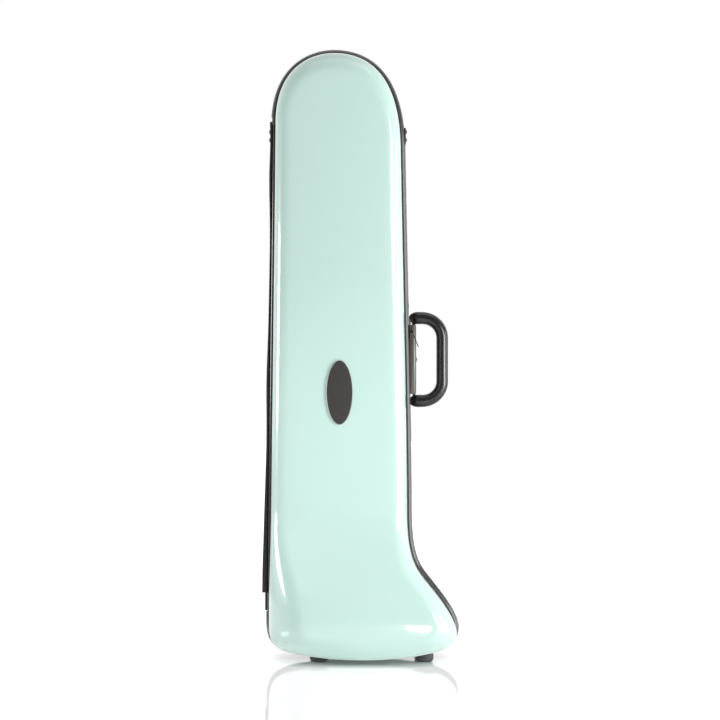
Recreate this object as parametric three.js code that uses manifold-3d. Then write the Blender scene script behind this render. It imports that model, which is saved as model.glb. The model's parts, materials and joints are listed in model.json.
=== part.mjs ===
// A hard-shell case for a large-bell trombone, standing upright on its bell end.
// Millimetres. X runs along the front towards the handle, Y from the front to the back, Z up.
import * as THREE from "three";
import { mergeVertices } from "three/addons/utils/BufferGeometryUtils.js";
import Module from "manifold-3d";

const wasm = await Module();
wasm.setup();

// The two shells. Each depth is measured from the seam to the outer face.
const bodyHalfWidth = 100;
const shellHeight = 930.2;
const floorGap = 7;
const wall = 3.2;
const frontDepth = { top: 60, hip: 80, bell: 140 };
const backDepth = { top: 55, hip: 70, bell: 126 };
const crown = 2.5;
const bodyDraft = 0.05;
const filletDepthShare = { body: 1.6, bell: 1.25 };
const crownRingShare = 0.5;
const shellEdge = 6;

// Heights along the case, in shares of the shells' height, and the same in millimetres.
const heightShares = [
  ["bellFull", 0.05698],
  ["bellStart", 0.25048],
  ["draftStart", 0.07848],
  ["spineBottom", 0.09138],
  ["spineTop", 0.89336],
  ["stripBottom", 0.1032],
  ["stripTop", 0.88153],
  ["slidersMeet", 0.54085],
  ["handle", 0.49086],
  ["upperRing", 0.86433],
  ["lowerRing", 0.36874],
  ["badge", 0.43679],
  ["cradle", 0.22253],
  ["tuningCradle", 0.84175],
  ["lowSaddle", 0.28058],
  ["highSaddle", 0.75145],
  ["box", 0.34939],
];
const up = Object.fromEntries(
  heightShares.map(([name, share]) => [name, floorGap + share * shellHeight]),
);

const faceInset = {
  bottom: 34,
  bellCorner: 46,
  bellSide: 34,
  flare: 24,
  handleSide: 16,
  top: 24,
  hingeSide: 18,
  heel: 55,
  heelBottom: 54,
};

// The line inside the case that every face edge draws towards.
const spineAtBell = 38;
const spineAtBody = 1;

// Gaps that pieces keep to each other.
const fit = 0.3;
const liningFit = 0.8;

// The rim: rubber seals, zip tapes, zip coils.
const seal = { out: 4.8, lap: 10.5, face: 2.2, round: 1.4, leg: 2, legCut: 2 };
const tape = { inner: -4, outer: 3.1, near: 0.35, far: 1.9 };
const coil = { inner: 3.4, outer: 6.4, near: 0.2, far: 1.9, fromTab: 2 };

// The fabric hinge strip on the left edge, and the tabs where the zip ends.
const strip = { topOut: 6.4, bottomOut: 12.4, halfWidth: 9.5, round: 1 };
const zipEnd = { upper: 7, lower: 28, out: 8.4, near: 0.4, far: 7 };

// The zip sliders and their pulls, on the straight stretch beside the handle.
const slider = { length: 15.4, gap: 1.2, thick: 2.4, half: 5, nose: 3.4, round: 1.2 };
const sliderStationShares = [0, 1 / 3, 1];
const ear = { thick: 1, inside: 3.2, length: 3.6, back: 2.6 };
const pullPin = 0.6;
const pull = { knuckle: 1.6, bore: 0.9, half: 2.8, thick: 1.3, hole: 1.7 };
const pullLength = { long: 26, short: 12.5 };
const pullLean = { long: 22, short: 0 };

// The handle and its base on the right edge of the back half.
const plate = { halfLength: 89.5, out: 3.8, near: 14, far: 43, round: 1.5 };
const bar = { halfLength: 53.7, rise: 12.6, half: 9, round: 3.4 };
const loop = {
  pivotOut: 13.3,
  reach: 44,
  halfSpan: 64.6,
  corner: 27,
  radius: 9.2,
  gripHalf: 10.5,
  dome: 8,
};
const armShares = [0, 0.1, 0.16, 0.2, 0.24, 0.28, 0.32, 0.42];
const stationShares = [...armShares, 0.5, ...armShares.map((share) => 1 - share).reverse()];
const domeShares = [1, 0.8, 0.4];
const domeBlunt = 1.02;
const handlePin = { radius: 2.2, inBar: 11, inArm: 5 };
const rivet = { radius: 3, high: 1.1, fromEnd: 6 };
const rivetCrownShares = { shoulder: 0.7, middle: 1.2 };

// The feet under both halves.
const foot = { radius: 14, bevel: 2, recess: 5, recessDeep: 4, screw: 4.6, screwHigh: 2.4, screwUp: 1.3 };
const footSpreadShares = [-1, -0.82, -0.4, 0.4, 0.82, 1];
const footBlunt = 1.12;
const footFlatShare = 0.4;
const footXShares = [["left", -0.29], ["right", 1.33]];
const frontFootY = 45;
const backFootY = 46;

// The strap rings and their keepers.
const ring = { wire: 1.75, height: 23.5, straight: 9, bow: 12 };
const bowPull = 1.33;
const bowShares = [0.15, 0.3, 0.5, 0.7, 0.85];
const keeper = { thick: 1.7, near: -3.5, far: 11.5, length: 18.6, knuckle: 3.1, hole: 2.1, out: 6.2 };
const keeperRivet = { radius: 2.2, high: 1, at: 7.5 };
const upperRingY = 16.5;
const lowerRingX = 50;

// The badge on the front face.
const badge = { x: 2.9, halfWide: 20.5, halfHigh: 49.5, thick: 2.4, bevel: 0.8 };

// The foam inside.
const liningThick = 10;
const liningEdge = 9.4;
const cradle = { high: 36, near: 6, seat: 42, seatX: 18 };
const tuningCradle = { high: 26, near: 6, seat: 26, seatX: 6 };
const blockChamfer = { wide: 5.5, deep: 10 };
const saddle = { length: 28, deep: 26, groove: 9, spacing: 88 };
const box = { high: 138, wide: 50, near: 10, wall: 3 };
const lid = { thick: 3 };
const strap = { thick: 1.6, half: 12.5, landing: 22 };

// Counts of facets.
const roundSides = 12;
const wireSides = 8;
const strapSteps = 14;
const filletSteps = 4;
const liningSteps = 2;

const lerp = THREE.MathUtils.lerp;
const shellTop = floorGap + shellHeight;

const colours = {
  mint: new THREE.MeshStandardMaterial({ color: 0xc6e6de, roughness: 0.12, metalness: 0 }),
  cover: new THREE.MeshStandardMaterial({ color: 0x3a3538, roughness: 0.85, metalness: 0 }),
  rubber: new THREE.MeshStandardMaterial({ color: 0x2c2e2d, roughness: 0.4, metalness: 0 }),
  zip: new THREE.MeshStandardMaterial({ color: 0x2b2527, roughness: 0.8, metalness: 0 }),
  darkMetal: new THREE.MeshStandardMaterial({ color: 0x45464a, roughness: 0.35, metalness: 0.9 }),
  badge: new THREE.MeshStandardMaterial({ color: 0x4b4944, roughness: 0.5, metalness: 0 }),
  grip: new THREE.MeshStandardMaterial({ color: 0x242523, roughness: 0.45, metalness: 0 }),
  base: new THREE.MeshStandardMaterial({ color: 0x4f504e, roughness: 0.45, metalness: 0.2 }),
  foot: new THREE.MeshStandardMaterial({ color: 0x464648, roughness: 0.8, metalness: 0 }),
  plush: new THREE.MeshStandardMaterial({ color: 0x4a4b50, roughness: 0.95, metalness: 0 }),
  webbing: new THREE.MeshStandardMaterial({ color: 0x1f1f22, roughness: 0.9, metalness: 0 }),
};

// Geometry from corner points and triangles, with its faces turned outwards.
function closedGeometry(points, triangles) {
  let volume = 0;
  for (const [a, b, c] of triangles) {
    volume += points[a].dot(new THREE.Vector3().crossVectors(points[b], points[c]));
  }
  const faces = volume < 0 ? triangles.map(([a, b, c]) => [a, c, b]) : triangles;
  const geometry = new THREE.BufferGeometry();
  geometry.setAttribute(
    "position",
    new THREE.Float32BufferAttribute(
      points.flatMap((p) => [p.x, p.y, p.z]),
      3,
    ),
  );
  geometry.setIndex(faces.flat());
  geometry.computeVertexNormals();
  return geometry;
}

// The quads between rings of equal counts, split into triangles.
function ringWalls(rings, looped) {
  const count = rings[0].length;
  const triangles = [];
  const last = looped ? rings.length : rings.length - 1;
  for (let r = 0; r < last; r++) {
    const here = r * count;
    const next = ((r + 1) % rings.length) * count;
    for (let i = 0; i < count; i++) {
      const j = (i + 1) % count;
      triangles.push([here + i, here + j, next + j], [here + i, next + j, next + i]);
    }
  }
  return triangles;
}

// Ear-cut triangles of a flat outline, in the outline's own turning sense.
function ears(outline) {
  const cut = THREE.ShapeUtils.triangulateShape(outline, []);
  const senseOf = ([a, b, c]) => THREE.ShapeUtils.area([outline[a], outline[b], outline[c]]);
  const same = THREE.ShapeUtils.area(outline) * senseOf(cut[0]) > 0;
  return same ? cut : cut.map(([a, b, c]) => [a, c, b]);
}

// A tube of rings whose two ends are closed by the flat outline of the ring.
function cappedTube(rings, outline) {
  const count = outline.length;
  const end = (rings.length - 1) * count;
  const caps = ears(outline);
  const triangles = ringWalls(rings, false);
  for (const [a, b, c] of caps) {
    triangles.push([a, c, b], [end + a, end + b, end + c]);
  }
  return closedGeometry(rings.flat(), triangles);
}

// The closed solid of a geometry, and the geometry of a closed solid.
function solidOf(geometry) {
  const bare = geometry.clone();
  bare.deleteAttribute("normal");
  bare.deleteAttribute("uv");
  const merged = mergeVertices(bare);
  return new wasm.Manifold(
    new wasm.Mesh({
      numProp: 3,
      vertProperties: merged.attributes.position.array,
      triVerts: new Uint32Array(merged.index.array),
    }),
  );
}

function geometryOf(solid) {
  const mesh = solid.getMesh();
  const geometry = new THREE.BufferGeometry();
  geometry.setAttribute("position", new THREE.BufferAttribute(mesh.vertProperties, 3));
  geometry.setIndex(new THREE.BufferAttribute(mesh.triVerts, 1));
  geometry.computeVertexNormals();
  return geometry;
}

function joined(first, ...others) {
  return geometryOf(others.reduce((whole, next) => whole.add(solidOf(next)), solidOf(first)));
}

function cut(body, ...tools) {
  return geometryOf(tools.reduce((whole, next) => whole.subtract(solidOf(next)), solidOf(body)));
}

// A cylinder along Z, from one height to another.
function rod(radius, bottom, top, x, y) {
  const height = top - bottom;
  const shape = new THREE.CylinderGeometry(radius, radius, height, roundSides);
  return shape.rotateX(Math.PI / 2).translate(x, y, bottom + height / 2);
}

// A block between two corners.
function block(low, high) {
  const shape = new THREE.BoxGeometry(high.x - low.x, high.y - low.y, high.z - low.z);
  return shape.translate((low.x + high.x) / 2, (low.y + high.y) / 2, (low.z + high.z) / 2);
}

const at = (x, y, z) => new THREE.Vector3(x, y, z);

// The rim seen from the front, as cubic curves from the middle of the bottom towards the handle.
// x is in shares of the body's half width, z in shares of the shells' height.
const rimShares = [
  {
    knots: [[0.38, 0], [0.86, 0], [1.25, 0.0045], [1.49, 0.0108]],
    ends: ["bottom", "bellCorner"],
    steps: 3,
  },
  {
    knots: [[1.49, 0.0108], [1.66, 0.0152], [1.83, 0.028], [1.813, 0.0463]],
    ends: ["bellCorner", "bellSide"],
    steps: 4,
  },
  {
    knots: [[1.813, 0.0463], [1.802, 0.0635], [1.624, 0.0909], [1.45, 0.1146]],
    ends: ["bellSide", "flare"],
    steps: 4,
  },
  {
    knots: [[1.45, 0.1146], [1.22, 0.1458], [1.076, 0.1539], [1.084, 0.2497]],
    ends: ["flare", "handleSide"],
    steps: 6,
  },
  {
    knots: [[1.084, 0.2497], [1.073, 0.4229], [1.006, 0.6812], [0.982, 0.8415]],
    ends: ["handleSide", "handleSide"],
    steps: 5,
  },
  {
    knots: [[0.982, 0.8415], [0.964, 0.9577], [0.52, 1], [-0.06, 1]],
    ends: ["handleSide", "top"],
    steps: 9,
  },
  {
    knots: [[-0.06, 1], [-0.42, 1], [-0.963, 0.976], [-0.973, 0.8835]],
    ends: ["top", "hingeSide"],
    steps: 9,
  },
  {
    knots: [[-0.973, 0.8835], [-0.994, 0.6338], [-1.023, 0.4261], [-1.046, 0.2184]],
    ends: ["hingeSide", "hingeSide"],
    steps: 5,
  },
  {
    knots: [[-1.046, 0.2184], [-1.05, 0.1646], [-1.049, 0.113], [-1.049, 0.0592]],
    ends: ["hingeSide", "heel"],
    steps: 4,
  },
  {
    knots: [[-1.049, 0.0592], [-1.052, 0.0252], [-0.98, 0.0156], [-0.73, 0.0093]],
    ends: ["heel", "heelBottom"],
    steps: 4,
  },
  {
    knots: [[-0.73, 0.0093], [-0.45, 0.0026], [-0.06, 0], [0.38, 0]],
    ends: ["heelBottom", "bottom"],
    steps: 3,
  },
];
const topCurve = 6;

const sumSteps = (curves) => curves.reduce((sum, { steps }) => sum + steps, 0);
const topIndex = sumSteps(rimShares.slice(0, topCurve));
const rimCount = sumSteps(rimShares);

function rimPoints() {
  const points = rimShares.flatMap(({ knots, ends, steps }) => {
    const corners = knots.map(
      ([x, z]) => new THREE.Vector2(x * bodyHalfWidth, floorGap + z * shellHeight),
    );
    const curve = new THREE.CubicBezierCurve(...corners);
    return Array.from({ length: steps }, (_, i) => {
      const share = i / steps;
      const p = curve.getPoint(share);
      const ease = THREE.MathUtils.smoothstep(share, 0, 1);
      return { x: p.x, z: p.y, inset: lerp(faceInset[ends[0]], faceInset[ends[1]], ease) };
    });
  });
  return points.map((p, i) => {
    const before = points[(i + rimCount - 1) % rimCount];
    const after = points[(i + 1) % rimCount];
    const arriving = new THREE.Vector2(p.x - before.x, p.z - before.z).normalize();
    const leaving = new THREE.Vector2(after.x - p.x, after.z - p.z).normalize();
    const along = arriving.clone().add(leaving).normalize();
    const mitre = 1 / along.dot(leaving);
    return { ...p, nx: along.y * mitre, nz: -along.x * mitre };
  });
}

const rim = rimPoints();

// A place on the rim at any share of an index, between its two neighbours.
function rimAt(index) {
  const first = Math.floor(index);
  const share = index - first;
  const p = rim[first % rimCount];
  const q = rim[(first + 1) % rimCount];
  return Object.fromEntries(Object.keys(p).map((key) => [key, lerp(p[key], q[key], share)]));
}

// The index where the rim crosses a value of x or z, searched between two indices.
function crossing(first, last, key, value) {
  for (let i = first; i < last; i++) {
    const p = rim[i % rimCount][key];
    const q = rim[(i + 1) % rimCount][key];
    if (p !== q && (p - value) * (q - value) <= 0) return i + (value - p) / (q - p);
  }
  throw new Error(`the rim has no ${key} of ${value}`);
}

const underCurves = 2;
const stepsBefore = sumSteps(rimShares.slice(-underCurves));
const stepsAfter = sumSteps(rimShares.slice(0, underCurves));
const onHandleSide = (z) => crossing(0, topIndex, "z", z);
const onHingeSide = (z) => crossing(topIndex, rimCount, "z", z);
const onBottom = (x) => crossing(rimCount - stepsBefore, rimCount + stepsAfter, "x", x);
const handleSideX = (z) => rimAt(onHandleSide(z)).x;
const hingeSideX = (z) => rimAt(onHingeSide(z)).x;

// The rim's places from one index to another, with the corners between them.
function stretch(from, to) {
  const places = [rimAt(from)];
  for (let i = Math.floor(from) + 1; i < to; i++) places.push(rimAt(i));
  places.push(rimAt(to));
  return places;
}

// The point at an outward distance and a depth from a place on the rim.
const offRim = (place, out, y) => at(place.x + place.nx * out, y, place.z + place.nz * out);

// A profile of [outward, y] corners swept along a stretch of the rim.
function rimSweep(places, profileAt) {
  const rings = places.map((place) => profileAt(place).map(([out, y]) => offRim(place, out, y)));
  const outline = profileAt(places[0]).map(([out, y]) => new THREE.Vector2(out, y));
  return cappedTube(rings, outline);
}

// The same profile swept all round the rim.
function rimRing(profile) {
  const rings = rim.map((place) => profile.map(([out, y]) => offRim(place, out, y)));
  return closedGeometry(rings.flat(), ringWalls(rings, true));
}

// Depth of a half at a height: nearly even along the body, swelling over the bell.
function depthAt(depth, z) {
  const rise = Math.max(0, (z - up.bellStart) / (shellTop - up.bellStart));
  const swell = 1 - THREE.MathUtils.smoothstep(z, up.bellFull, up.bellStart);
  return lerp(depth.hip, depth.top, rise) + swell * (depth.bell - depth.hip);
}

// How far the side wall, leaning on the body and upright at the bell, has moved in at a depth.
const bodyShare = (z) => THREE.MathUtils.smoothstep(z, up.draftStart, up.bellStart);
const wallInset = (place, y) => bodyDraft * bodyShare(place.z) * (Math.abs(y) - shellEdge);

// The point of the spine that a rim place draws towards.
function spineFor(place) {
  const z = THREE.MathUtils.clamp(place.z, up.spineBottom, up.spineTop);
  const body = THREE.MathUtils.smoothstep(z, up.spineBottom, up.bellStart);
  return new THREE.Vector2(lerp(spineAtBell, spineAtBody, body), z);
}

// A point at an outward distance from the leaning side wall, at a depth.
function offWall(place, out, y) {
  const towards = spineFor(place).sub(new THREE.Vector2(place.x, place.z)).normalize();
  return offRim(place, out, y).add(at(towards.x, 0, towards.y).multiplyScalar(wallInset(place, y)));
}

// The rings of one skin of a half, from its edge at the seam to the ring inside its face.
function skinRings(side, depth, inward, edge, steps) {
  const rings = Array.from({ length: steps + 3 }, () => []);
  for (const place of rim) {
    const spine = spineFor(place);
    const onRim = new THREE.Vector2(place.x, place.z);
    const towards = spine.clone().sub(onRim).normalize();
    const faceEdge = onRim.clone().addScaledVector(towards, place.inset);
    const faceDepth = depthAt(depth, faceEdge.y) - crown;
    const roundShare = lerp(filletDepthShare.bell, filletDepthShare.body, bodyShare(place.z));
    const wallDepth = faceDepth - place.inset * roundShare;
    const start = new THREE.Vector2(place.x - place.nx * inward, place.z - place.nz * inward);
    const leaned = start.clone().addScaledVector(towards, wallInset(place, wallDepth));
    const push = (r, p, y) => rings[r].push(at(p.x, side * y, p.y));
    push(0, start, edge);
    for (let i = 0; i <= steps; i++) {
      const turn = ((i / steps) * Math.PI) / 2;
      const p = leaned.clone().lerp(faceEdge, 1 - Math.cos(turn));
      push(i + 1, p, wallDepth + (faceDepth - inward - wallDepth) * Math.sin(turn));
    }
    const inner = faceEdge.clone().lerp(spine, crownRingShare);
    push(steps + 2, inner, depthAt(depth, inner.y) - inward);
  }
  return rings;
}

// Triangles that close a ring of the rim across, climbing both of its sides at once.
function acrossRing(ringPoints, first) {
  const triangles = [];
  let right = 0;
  let left = rimCount;
  while (right < topIndex || left > topIndex) {
    const nextRight = right < topIndex ? ringPoints[right + 1].z : Infinity;
    const nextLeft = left > topIndex ? ringPoints[left - 1].z : Infinity;
    const corner = nextRight <= nextLeft ? right + 1 : left - 1;
    const triangle = [right, corner, left % rimCount];
    if (new Set(triangle).size === 3) triangles.push(triangle.map((i) => first + i));
    if (nextRight <= nextLeft) right += 1;
    else left -= 1;
  }
  return triangles;
}

// One half: an open shell with a wall, its edge at the seam.
function halfShell(side, depth, outset, thickness, edge, steps) {
  const inner = skinRings(side, depth, outset + thickness, edge, steps).reverse();
  const outer = skinRings(side, depth, outset, edge, steps);
  const rings = [...inner, ...outer];
  const end = (rings.length - 1) * rimCount;
  const triangles = ringWalls(rings, false);
  triangles.push(...acrossRing(rings[0], 0).map(([a, b, c]) => [a, c, b]));
  triangles.push(...acrossRing(rings[rings.length - 1], end));
  return closedGeometry(rings.flat(), triangles);
}

function sealProfile(side) {
  const inner = -wall - fit;
  return [
    [fit, side * seal.lap],
    [seal.out - seal.round, side * seal.lap],
    [seal.out, side * (seal.lap - seal.round)],
    [seal.out, side * (seal.face + seal.round)],
    [seal.out - seal.round, side * seal.face],
    [inner - seal.leg, side * seal.face],
    [inner - seal.leg, side * (seal.lap - seal.legCut)],
    [inner, side * (seal.lap - seal.legCut)],
    [inner, side * (shellEdge - fit)],
    [fit, side * (shellEdge - fit)],
  ];
}

const bandProfile = (band, side) => [
  [band.inner, side * band.near],
  [band.outer, side * band.near],
  [band.outer, side * band.far],
  [band.inner, side * band.far],
];

// The zip runs from below the hinge strip round by the handle to above the strip.
function zipCoil(side) {
  const from = onHingeSide(up.stripBottom - zipEnd.lower - coil.fromTab);
  const to = onHingeSide(up.stripTop + zipEnd.upper + coil.fromTab) + rimCount;
  return rimSweep(stretch(from, to), () => bandProfile(coil, side));
}

function hingeStrip() {
  const inner = seal.out + fit;
  return rimSweep(stretch(onHingeSide(up.stripTop), onHingeSide(up.stripBottom)), (place) => {
    const share = (up.stripTop - place.z) / (up.stripTop - up.stripBottom);
    const outer = lerp(strip.topOut, strip.bottomOut, share ** 2);
    return [
      [inner, -strip.halfWidth],
      [outer - strip.round, -strip.halfWidth],
      [outer, strip.round - strip.halfWidth],
      [outer, strip.halfWidth - strip.round],
      [outer - strip.round, strip.halfWidth],
      [inner, strip.halfWidth],
    ];
  });
}

function zipEndTab(from, to) {
  const inner = seal.out + fit;
  return rimSweep(stretch(onHingeSide(from), onHingeSide(to)), () => [
    [inner, zipEnd.near],
    [zipEnd.out, zipEnd.near],
    [zipEnd.out, zipEnd.far],
    [inner, zipEnd.far],
  ]);
}

const sliderInner = coil.outer + fit;
const sliderOuter = sliderInner + slider.thick;
const sliderEnd = slider.gap / 2 + slider.length;
const earZ = {
  upper: up.slidersMeet + sliderEnd - ear.back,
  lower: up.slidersMeet - slider.gap / 2 - ear.back,
};
const earX = (z) => handleSideX(z) + sliderOuter + fit + pull.knuckle;

// A zip slider, broad at its leading end, with two ears and the cross pin of its pull.
function zipSlider(low, leadsUp, pinZ) {
  const profile = (half) => [
    [sliderInner, -half],
    [sliderOuter - slider.round, -half],
    [sliderOuter, slider.round - half],
    [sliderOuter, half - slider.round],
    [sliderOuter - slider.round, half],
    [sliderInner, half],
  ];
  const places = sliderStationShares.map((share) =>
    rimAt(onHandleSide(low + share * slider.length)),
  );
  const halves = leadsUp
    ? [slider.nose, slider.half, slider.half]
    : [slider.half, slider.half, slider.nose];
  const rings = places.map((p, i) => profile(halves[i]).map(([out, y]) => offRim(p, out, y)));
  const body = cappedTube(rings, profile(halves[0]).map(([out, y]) => new THREE.Vector2(out, y)));
  const x = earX(pinZ);
  const earInner = handleSideX(pinZ) + sliderInner + slider.round;
  const earBlocks = [-1, 1].map((side) => {
    const inside = side * ear.inside;
    const outside = side * (ear.inside + ear.thick);
    return block(
      at(earInner, Math.min(inside, outside), pinZ - ear.length / 2),
      at(x + pull.knuckle, Math.max(inside, outside), pinZ + ear.length / 2),
    );
  });
  const pin = rod(pullPin, -ear.inside - fit, ear.inside + fit, 0, 0);
  pin.rotateX(Math.PI / 2).translate(x, 0, pinZ);
  return joined(body, ...earBlocks, pin);
}

// A pull tab in its own frame: its pin along Y at the origin, its tab hanging along -Z.
function zipPull(length) {
  const width = 2 * pull.half;
  const knuckle = new THREE.CylinderGeometry(pull.knuckle, pull.knuckle, width, roundSides);
  const tab = block(
    at(-pull.thick / 2, -pull.half, -length),
    at(pull.thick / 2, pull.half, -pull.bore),
  );
  const bore = new THREE.CylinderGeometry(pull.bore, pull.bore, 2 * width, roundSides);
  const hole = new THREE.CylinderGeometry(pull.hole, pull.hole, 2 * width, roundSides);
  hole.rotateZ(Math.PI / 2).translate(0, 0, pull.half - length);
  return cut(joined(knuckle, tab), bore, hole);
}

// The handle's own heights, set off from its middle.
const plateZ = { bottom: up.handle - plate.halfLength, top: up.handle + plate.halfLength };
const barZ = { bottom: up.handle - bar.halfLength, top: up.handle + bar.halfLength };
const armZ = { low: up.handle - loop.halfSpan, high: up.handle + loop.halfSpan };

// The base plate: its inner face follows the shell's side, its outer face is upright.
function handlePlate() {
  const outerX = handleSideX(up.handle) + plate.out;
  return rimSweep(stretch(onHandleSide(plateZ.bottom), onHandleSide(plateZ.top)), (place) => {
    const outer = (outerX - place.x) / place.nx;
    return [
      [fit - wallInset(place, plate.near), plate.near],
      [outer - plate.round, plate.near],
      [outer, plate.near + plate.round],
      [outer, plate.far - plate.round],
      [outer - plate.round, plate.far],
      [fit - wallInset(place, plate.far), plate.far],
    ];
  });
}

const handleX = handleSideX(up.handle);
const handleY = (plate.near + plate.far) / 2;
const pivotX = handleX + loop.pivotOut;
const barInner = handleX + plate.out + fit;
const barOuter = barInner + bar.rise;

// The raised bar between the handle's arms, bored at both ends for the pins.
function handleBar() {
  const shape = new THREE.Shape();
  shape.moveTo(barInner, -bar.half);
  shape.lineTo(barOuter - bar.round, -bar.half);
  shape.quadraticCurveTo(barOuter, -bar.half, barOuter, bar.round - bar.half);
  shape.lineTo(barOuter, bar.half - bar.round);
  shape.quadraticCurveTo(barOuter, bar.half, barOuter - bar.round, bar.half);
  shape.lineTo(barInner, bar.half);
  const options = { depth: barZ.top - barZ.bottom, bevelEnabled: false, curveSegments: 3 };
  const body = new THREE.ExtrudeGeometry(shape, options).translate(0, handleY, barZ.bottom);
  const bore = handlePin.radius + fit;
  const deep = handlePin.inBar + fit;
  return cut(
    body,
    rod(bore, barZ.bottom - deep, barZ.bottom + deep, pivotX, handleY),
    rod(bore, barZ.top - deep, barZ.top + deep, pivotX, handleY),
  );
}

// The handle's centre line: out along one arm, round two corners and back along the other.
function loopPath() {
  const path = new THREE.CurvePath();
  const outX = pivotX + loop.reach;
  const turn = outX - loop.corner;
  const line = (x1, z1, x2, z2) => path.add(new THREE.LineCurve3(at(x1, 0, z1), at(x2, 0, z2)));
  const bend = (x1, z1, xc, zc, x2, z2) =>
    path.add(new THREE.QuadraticBezierCurve3(at(x1, 0, z1), at(xc, 0, zc), at(x2, 0, z2)));
  line(pivotX, armZ.low, turn, armZ.low);
  bend(turn, armZ.low, outX, armZ.low, outX, armZ.low + loop.corner);
  line(outX, armZ.low + loop.corner, outX, armZ.high - loop.corner);
  bend(outX, armZ.high - loop.corner, outX, armZ.high, turn, armZ.high);
  line(turn, armZ.high, pivotX, armZ.high);
  return path;
}

// The handle: a thick loop, fuller in the hand, with domed ends bored for the pins.
function handleLoop() {
  const path = loopPath();
  const ringAt = (centre, along, shrink, full) => {
    const across = new THREE.Vector3(-along.z, 0, along.x);
    const half = lerp(loop.radius, loop.gripHalf, full) * shrink;
    return Array.from({ length: roundSides }, (_, i) => {
      const turn = (i / roundSides) * Math.PI * 2;
      const p = centre.clone().addScaledVector(across, Math.cos(turn) * loop.radius * shrink);
      return p.add(at(0, handleY + Math.sin(turn) * half, 0));
    });
  };
  const dome = (share, sense) =>
    domeShares.map((high) => {
      const along = path.getTangent(share);
      const centre = path.getPoint(share).addScaledVector(along, sense * high * loop.dome);
      return ringAt(centre, along, Math.sqrt(domeBlunt - high * high), 0);
    });
  const body = stationShares.map((share) =>
    ringAt(path.getPointAt(share), path.getTangentAt(share), 1, Math.sin(share * Math.PI)),
  );
  const rings = [...dome(0, -1), ...body, ...dome(1, 1).reverse()];
  const outline = rings[0].map((p) => new THREE.Vector2(p.z, p.y));
  const bore = handlePin.radius + fit;
  const deep = handlePin.inArm + fit;
  const length = loop.radius;
  return cut(
    cappedTube(rings, outline),
    rod(bore, armZ.low + loop.radius - deep, armZ.low + loop.radius + length, pivotX, handleY),
    rod(bore, armZ.high - loop.radius - length, armZ.high - loop.radius + deep, pivotX, handleY),
  );
}

// A low domed rivet head in its own frame, standing along X.
function rivetHead({ radius, high }) {
  const shape = new THREE.LatheGeometry(
    [
      new THREE.Vector2(0, 0),
      new THREE.Vector2(radius, 0),
      new THREE.Vector2(radius * rivetCrownShares.shoulder, high),
      new THREE.Vector2(0, high * rivetCrownShares.middle),
    ],
    roundSides,
  );
  return shape.rotateZ(-Math.PI / 2);
}

// A rubber foot whose top follows the shell's underside, recessed for its screw.
function rubberFoot(x, y) {
  const rings = footSpreadShares.map((share) => {
    const place = rimAt(onBottom(x + share * foot.radius));
    const half = foot.radius * Math.sqrt(footBlunt - share ** 2);
    const pastFlat = Math.max(0, Math.abs(share) - footFlatShare);
    const edgeIn = foot.bevel * Math.sign(share) * pastFlat;
    const top = (offset) => offWall(place, fit, y + offset);
    return [
      top(-half),
      at(place.x, y - half, foot.bevel),
      at(place.x - edgeIn, y - half + foot.bevel, 0),
      at(place.x - edgeIn, y + half - foot.bevel, 0),
      at(place.x, y + half, foot.bevel),
      top(half),
    ];
  });
  const outline = rings[0].map((p) => new THREE.Vector2(p.y, p.z));
  return cut(cappedTube(rings, outline), rod(foot.recess, -foot.recessDeep, foot.recessDeep, x, y));
}

// The screw that holds a foot, its head inside the recess.
function footScrew(x, y) {
  return rod(foot.screw, foot.screwUp, foot.screwUp + foot.screwHigh, x, y);
}

// A closed D of round wire in its own frame: its bar along Z through the origin, its bow along +Y.
function wireRing() {
  const half = ring.height / 2;
  const path = new THREE.CurvePath();
  path.add(new THREE.LineCurve3(at(0, 0, -half), at(0, 0, half)));
  path.add(new THREE.LineCurve3(at(0, 0, half), at(0, ring.straight, half)));
  path.add(
    new THREE.CubicBezierCurve3(
      at(0, ring.straight, half),
      at(0, ring.straight + ring.bow * bowPull, half),
      at(0, ring.straight + ring.bow * bowPull, -half),
      at(0, ring.straight, -half),
    ),
  );
  path.add(new THREE.LineCurve3(at(0, ring.straight, -half), at(0, 0, -half)));
  const corners = [at(0, 0, -half), at(0, 0, half), at(0, ring.straight, half)];
  const bow = bowShares.map((share) => path.curves[2].getPoint(share));
  const centres = [...corners, ...bow, at(0, ring.straight, -half)];
  const rings = centres.map((centre, i) => {
    const before = centres[(i + centres.length - 1) % centres.length];
    const after = centres[(i + 1) % centres.length];
    const arriving = centre.clone().sub(before).normalize();
    const leaving = after.clone().sub(centre).normalize();
    const along = arriving.clone().add(leaving).normalize();
    const across = new THREE.Vector3(0, -along.z, along.y).divideScalar(along.dot(leaving));
    return Array.from({ length: wireSides }, (_, k) => {
      const turn = ((k + 0.5) / wireSides) * Math.PI * 2;
      const p = centre.clone().addScaledVector(across, Math.cos(turn) * ring.wire);
      return p.add(at(Math.sin(turn) * ring.wire, 0, 0));
    });
  });
  return closedGeometry(rings.flat(), ringWalls(rings, true));
}

// The keeper of a ring in the ring's frame: a plate with a knuckle round the ring's bar.
function ringKeeper() {
  const half = keeper.length / 2;
  const plateSolid = block(
    at(-keeper.out, keeper.near, -half),
    at(keeper.thick - keeper.out, keeper.far, half),
  );
  const neck = block(
    at(keeper.thick / 2 - keeper.out, -keeper.hole, -half),
    at(0, keeper.hole, half),
  );
  const knuckle = rod(keeper.knuckle, -half, half, 0, 0);
  return cut(joined(plateSolid, neck, knuckle), rod(keeper.hole, -keeper.length, keeper.length, 0, 0));
}

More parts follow.
